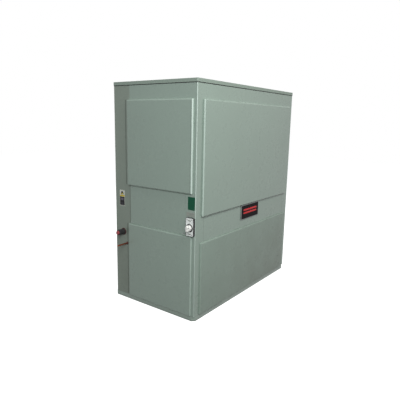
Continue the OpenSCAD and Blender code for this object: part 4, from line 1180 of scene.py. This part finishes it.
makeBearing(-bearing["x"], "left", ["bearings"])
makeBearing(bearing["x"], "right", ())
for name in ("bearing_stands", "fan_frame", "motor_rails"):
    dress(name, "zinc_dull", 0.6)

# ends of the shell, its ribs, feet and wiring cover
motor = {"x": (-600, -370), "ribs": 72, "ribR": 81.6, "valleyR": 77.6, "slots": 12, "foot": (50, 90),
         "boltY": 62, "cover": (-528, -442, -28, 38), "coverScrews": 10}


def makeMotor():
    d, y, z = motor, drive["motorY"], drive["motorZ"]
    x0, x1 = d["x"]
    s = Shape()
    ribs = [(c, g, d["ribR"] if k % 2 else d["valleyR"]) for k, (c, g) in enumerate(circle(d["ribs"]))]
    s.loft([[(x, y + c * (r - q), z + g * (r - q)) for c, g, r in ribs]
            for x, q in ((x0 + 38, 4), (x0 + 40, 0), (x1 - 46, 0), (x1 - 44, 4))])
    front = [(0, 14), (0, 30), (4, 44), (10, 58), (16, 72), (24, 80), (28, 82), (38, 82), (39, 79), (39, 14)]
    back = [(-45, 14), (-45, 79), (-44, 82), (-32, 82), (-26, 80), (-14, 74), (-4, 64), (0, 52), (0, 14)]
    for end, profile in ((x0, front), (x1, back)):
        s.lathe([(end + h, r) for h, r in profile], (0, y, z), "x", 72)
    for c, q in circle(d["slots"], 15):  # air slots in the fan cover, drawn as black strips: painted shade of the openings
        path = [(x1 - 0.6 - abs(r - 40) * 0.02, y + r * c, z + r * q) for r in (24, 36, 48)]
        s.tube(path, [1.5, 2.2, 1.5], 8, 1)
    near, far = d["foot"]
    for xa, xb in ((x0 + near, x0 + far), (x1 - far, x1 - near)):
        s.loft([[(x, y + v, z - h) for x, v in roundBox(xa + k, -75 + q, xb - k, 75 - q, 5)]
                for h, k, q in ((89, 0, 0), (79, 0, 0), (74, 2, 6), (56, 5, 22))])
        for v in (y - d["boltY"], y + d["boltY"]):
            hexNut(s, (xa + xb) / 2, v, 7, 20, (z - 79.5, z - 73), 2)
    xa, xb, low, high = d["cover"]
    s.loft([[(x, y + h, z + v) for x, v in insetBox(xa, low, xb, high, k, 8)]
            for h, k in ((70, 4), (84, 2), (104, 2), (106, 0), (110.5, 0), (112, 2))])
    inset = d["coverScrews"]
    for x in (xa + inset, xb - inset):
        for h in (low + inset, high - inset):
            s.lathe([(111, 3.4), (111.9, 3.2), (111.9, 0.4)], (x, y, z + h), "y", 14, 2)
    s.box(-505, -465, y - 30, y + 30, z + 79, z + 82.4, 3)  # bare rating plate
    s.build("motor_shell", "motor_carriage", ["motor", "black", "screw", "rim"], 0.5, replaced=["motor"],
            sharp=30)
    dress("motor_base", "zinc_dull", 0.6)


makeMotor()
print("drive made")

# what stands on the control box's back plate; "out" is how far it stands off the plate
contactor = {"y": (-256, -184), "z": (706, 809), "out": 40,
             "clampZ": (714, 801), "clampY": (-240, -220, -200)}
transformer = {"y": (-140, -80), "z": (700.5, 754.6), "plates": 11, "pitch": 4, "thick": 3.4, "stagger": 0.4}
terminals = {"y": (-170, 20), "z": (830, 862), "ways": 10, "pitch": 19, "wall": 3, "screwZ": (840, 852)}


def plateFace():
    return max(corner[0] for corner in cad["contactor"].bound_box) / mm


def makeContactor():
    d, x1 = contactor, plateFace()
    (y0, y1), (z0, z1) = d["y"], d["z"]
    s = Shape()
    s.box(x1 - d["out"], x1, y0, y1, z0, z0 + 16)
    s.box(x1 - d["out"], x1, y0, y1, z1 - 17, z1)
    s.box(x1 - d["out"] + 2, x1, y0 + 6, y1 - 6, z0 + 16, z1 - 17)
    for low, high, v0, v1 in ((720, 745, -250, -190), (770, 795, -250, -190),
                              (745, 770, -250, -233), (745, 770, -207, -190)):
        s.box(x1 - 55, x1 - 30.5, v0, v1, low, high)  # raised frame round the plunger
    for y in d["clampY"]:  # clamp screws, with black bars for their slots: painted shade
        for z in d["clampZ"]:
            s.lathe([(-38.5, 5.4), (-42.5, 5.2), (-43, 4)], (x1, y, z), "x", 20, 1)
            s.box(x1 - 43.4, x1 - 42.4, y - 4, y + 4, z - 0.7, z + 0.7, 0)
    s.build("contactor_case", "cabinet", ["black", "screw"], 0.8, replaced=["contactor"])
    s = Shape()
    s.box(x1 - 59.6, x1 - 35, -232.5, -207.5, 745.5, 769.5)
    s.box(x1 - 60, x1 - 59.4, -224, -216, 753, 762, 1)
    s.build("contactor_plunger_bar", "plunger", ["cream", "black"], 0.8, replaced=["contactor_plunger"])


def makeTransformer():
    d, x1 = transformer, plateFace()
    (y0, y1), (z0, z1), last = d["y"], d["z"], transformer["plates"] - 1
    s = Shape()
    for k in range(d["plates"]):  # stacked core plates
        x, shift = x1 - 44 + k * d["pitch"], (k % 2) * d["stagger"]
        s.box(x, x + d["thick"] if k < last else x1, y0 + shift, y1 - shift, z0, z1)
    s.loft([[(x1 - 10 - h, y, z) for y, z in roundBox(-128, 706, -92, 749, 10)] for h in (0, 40, 44, 46)], 1)
    s.box(x1 - 3, x1 - 0.1, y0, y1, z0 - 10.5, z1 + 10.4, 2)  # foot plate
    s.build("transformer_core", "cabinet", ["core_steel", "cream", "zinc"], 0.5, replaced=["transformer"])


def makeTerminals():
    d, x1 = terminals, plateFace()
    (y0, y1), (z0, z1), wall = d["y"], d["z"], d["wall"]
    s = Shape()
    s.box(x1 - 8, x1, y0, y1, z0, z1)
    s.box(x1 - 22, x1 - 7.5, y0, y1, z0, z0 + 4)
    s.box(x1 - 22, x1 - 7.5, y0, y1, z1 - 4, z1)
    for k in range(d["ways"] + 1):  # walls between the ways
        y = y0 + k * d["pitch"]
        s.box(x1 - 21.6, x1 - 7.5, y, min(y + wall, y1), z0 + 3.5, z1 - 3.5)
    for k in range(d["ways"]):
        for z in d["screwZ"]:
            s.lathe([(-8, 4.6), (-11.5, 4.4), (-12, 3.4)], (x1, y0 + 9.5 + k * d["pitch"], z), "x", 16, 1)
    s.build("terminal_block_body", "cabinet", ["cream", "screw"], 0.5, replaced=["terminal_block"])


dress("control_box", "zinc", 0.4)
makeContactor()
makeTransformer()
makeTerminals()
print("controls made")

studio = {"floor": 14, "drop": 0.0005, "bounce": (0.08, 0.085, 0.08, 1), "pale": (0.6, 0.6, 0.6, 1),
          "glow": 0.84, "sky": (0.9, 0.95, 0.95, 1), "skyLight": 0.3}
mirrored = ("Is Glossy Ray", "Is Transmission Ray")


def anyRay(tree, kinds):
    # one for rays of these kinds, otherwise none
    path = addNode(tree, "LightPath", {})
    value = path.outputs[kinds[0]]
    for kind in kinds[1:]:
        node = addNode(tree, "Math", {0: value, 1: path.outputs[kind]})
        node.operation = "MAXIMUM"
        value = node.outputs[0]
    return value


def choose(tree, factor, usual, chosen):
    return addNode(tree, "MixShader", {0: factor, 1: usual.outputs[0], 2: chosen.outputs[0]})


def makeFloor():
    mesh = bpy.data.meshes.new("floor")
    r = studio["floor"]
    mesh.from_pydata([(-r, -r, 0), (r, -r, 0), (r, r, 0), (-r, r, 0)], [], [(0, 1, 2, 3)])
    floor = bpy.data.objects.new("floor", mesh)
    bpy.context.scene.collection.objects.link(floor)
    floor.location.z = -studio["drop"]
    paint = bpy.data.materials.new("floor_paint")
    paint.use_nodes = True
    tree = paint.node_tree
    shader = feed(tree.nodes["Principled BSDF"], {"Base Color": studio["bounce"], "Roughness": 0.9})
    pale = addNode(tree, "BsdfDiffuse", {"Color": studio["pale"]})
    glow, white = (addNode(tree, "Emission", {"Strength": strength}) for strength in (studio["glow"], 1))
    both = addNode(tree, "AddShader", {0: pale.outputs[0], 1: glow.outputs[0]})
    seen = choose(tree, anyRay(tree, ("Is Camera Ray",)), shader, both)
    surface = choose(tree, anyRay(tree, mirrored), seen, white)
    feed(tree.nodes["Material Output"], {"Surface": surface.outputs[0]})
    mesh.materials.append(paint)


def makeSky():
    world = bpy.data.worlds.new("sky")
    bpy.context.scene.world = world
    world.use_nodes = True
    tree = world.node_tree
    back = feed(tree.nodes["Background"], {"Color": studio["sky"], "Strength": studio["skyLight"]})
    seen = addNode(tree, "Background", {"Color": (1, 1, 1, 1)})
    surface = choose(tree, anyRay(tree, ("Is Camera Ray",) + mirrored), back, seen)
    feed(tree.nodes["World Output"], {"Surface": surface.outputs[0]})


# name: place, aim, width and height, watts, colour
lamps = {
    "key": ((-1.1, -2.7, 3.9), (-0.2, -0.3, 1.4), (1.4, 1.4), 74, (1, 1, 0.97)),
    "side": ((-3.8, -2.7, 2.8), (-0.5, -0.2, 1.3), (1.2, 1.8), 104, (0.95, 0.98, 1)),
    "back": ((2.6, 3.6, 3.4), (0.2, 0.2, 1.2), (2.4, 2.4), 110, (1, 1, 1)),
}


def makeLamps():
    for name, (place, aim, size, watts, colour) in lamps.items():
        data = bpy.data.lights.new(name, "AREA")
        data.shape, data.size, data.size_y = "RECTANGLE", size[0], size[1]
        data.energy, data.color = watts, colour
        lamp = bpy.data.objects.new(name, data)
        bpy.context.scene.collection.objects.link(lamp)
        lamp.location = place
        lamp.rotation_euler = (Vector(aim) - Vector(place)).to_track_quat("-Z", "Y").to_euler()


makeFloor()
makeLamps()
makeSky()
bpy.context.scene.view_settings.view_transform = "Standard"

print("scene made")
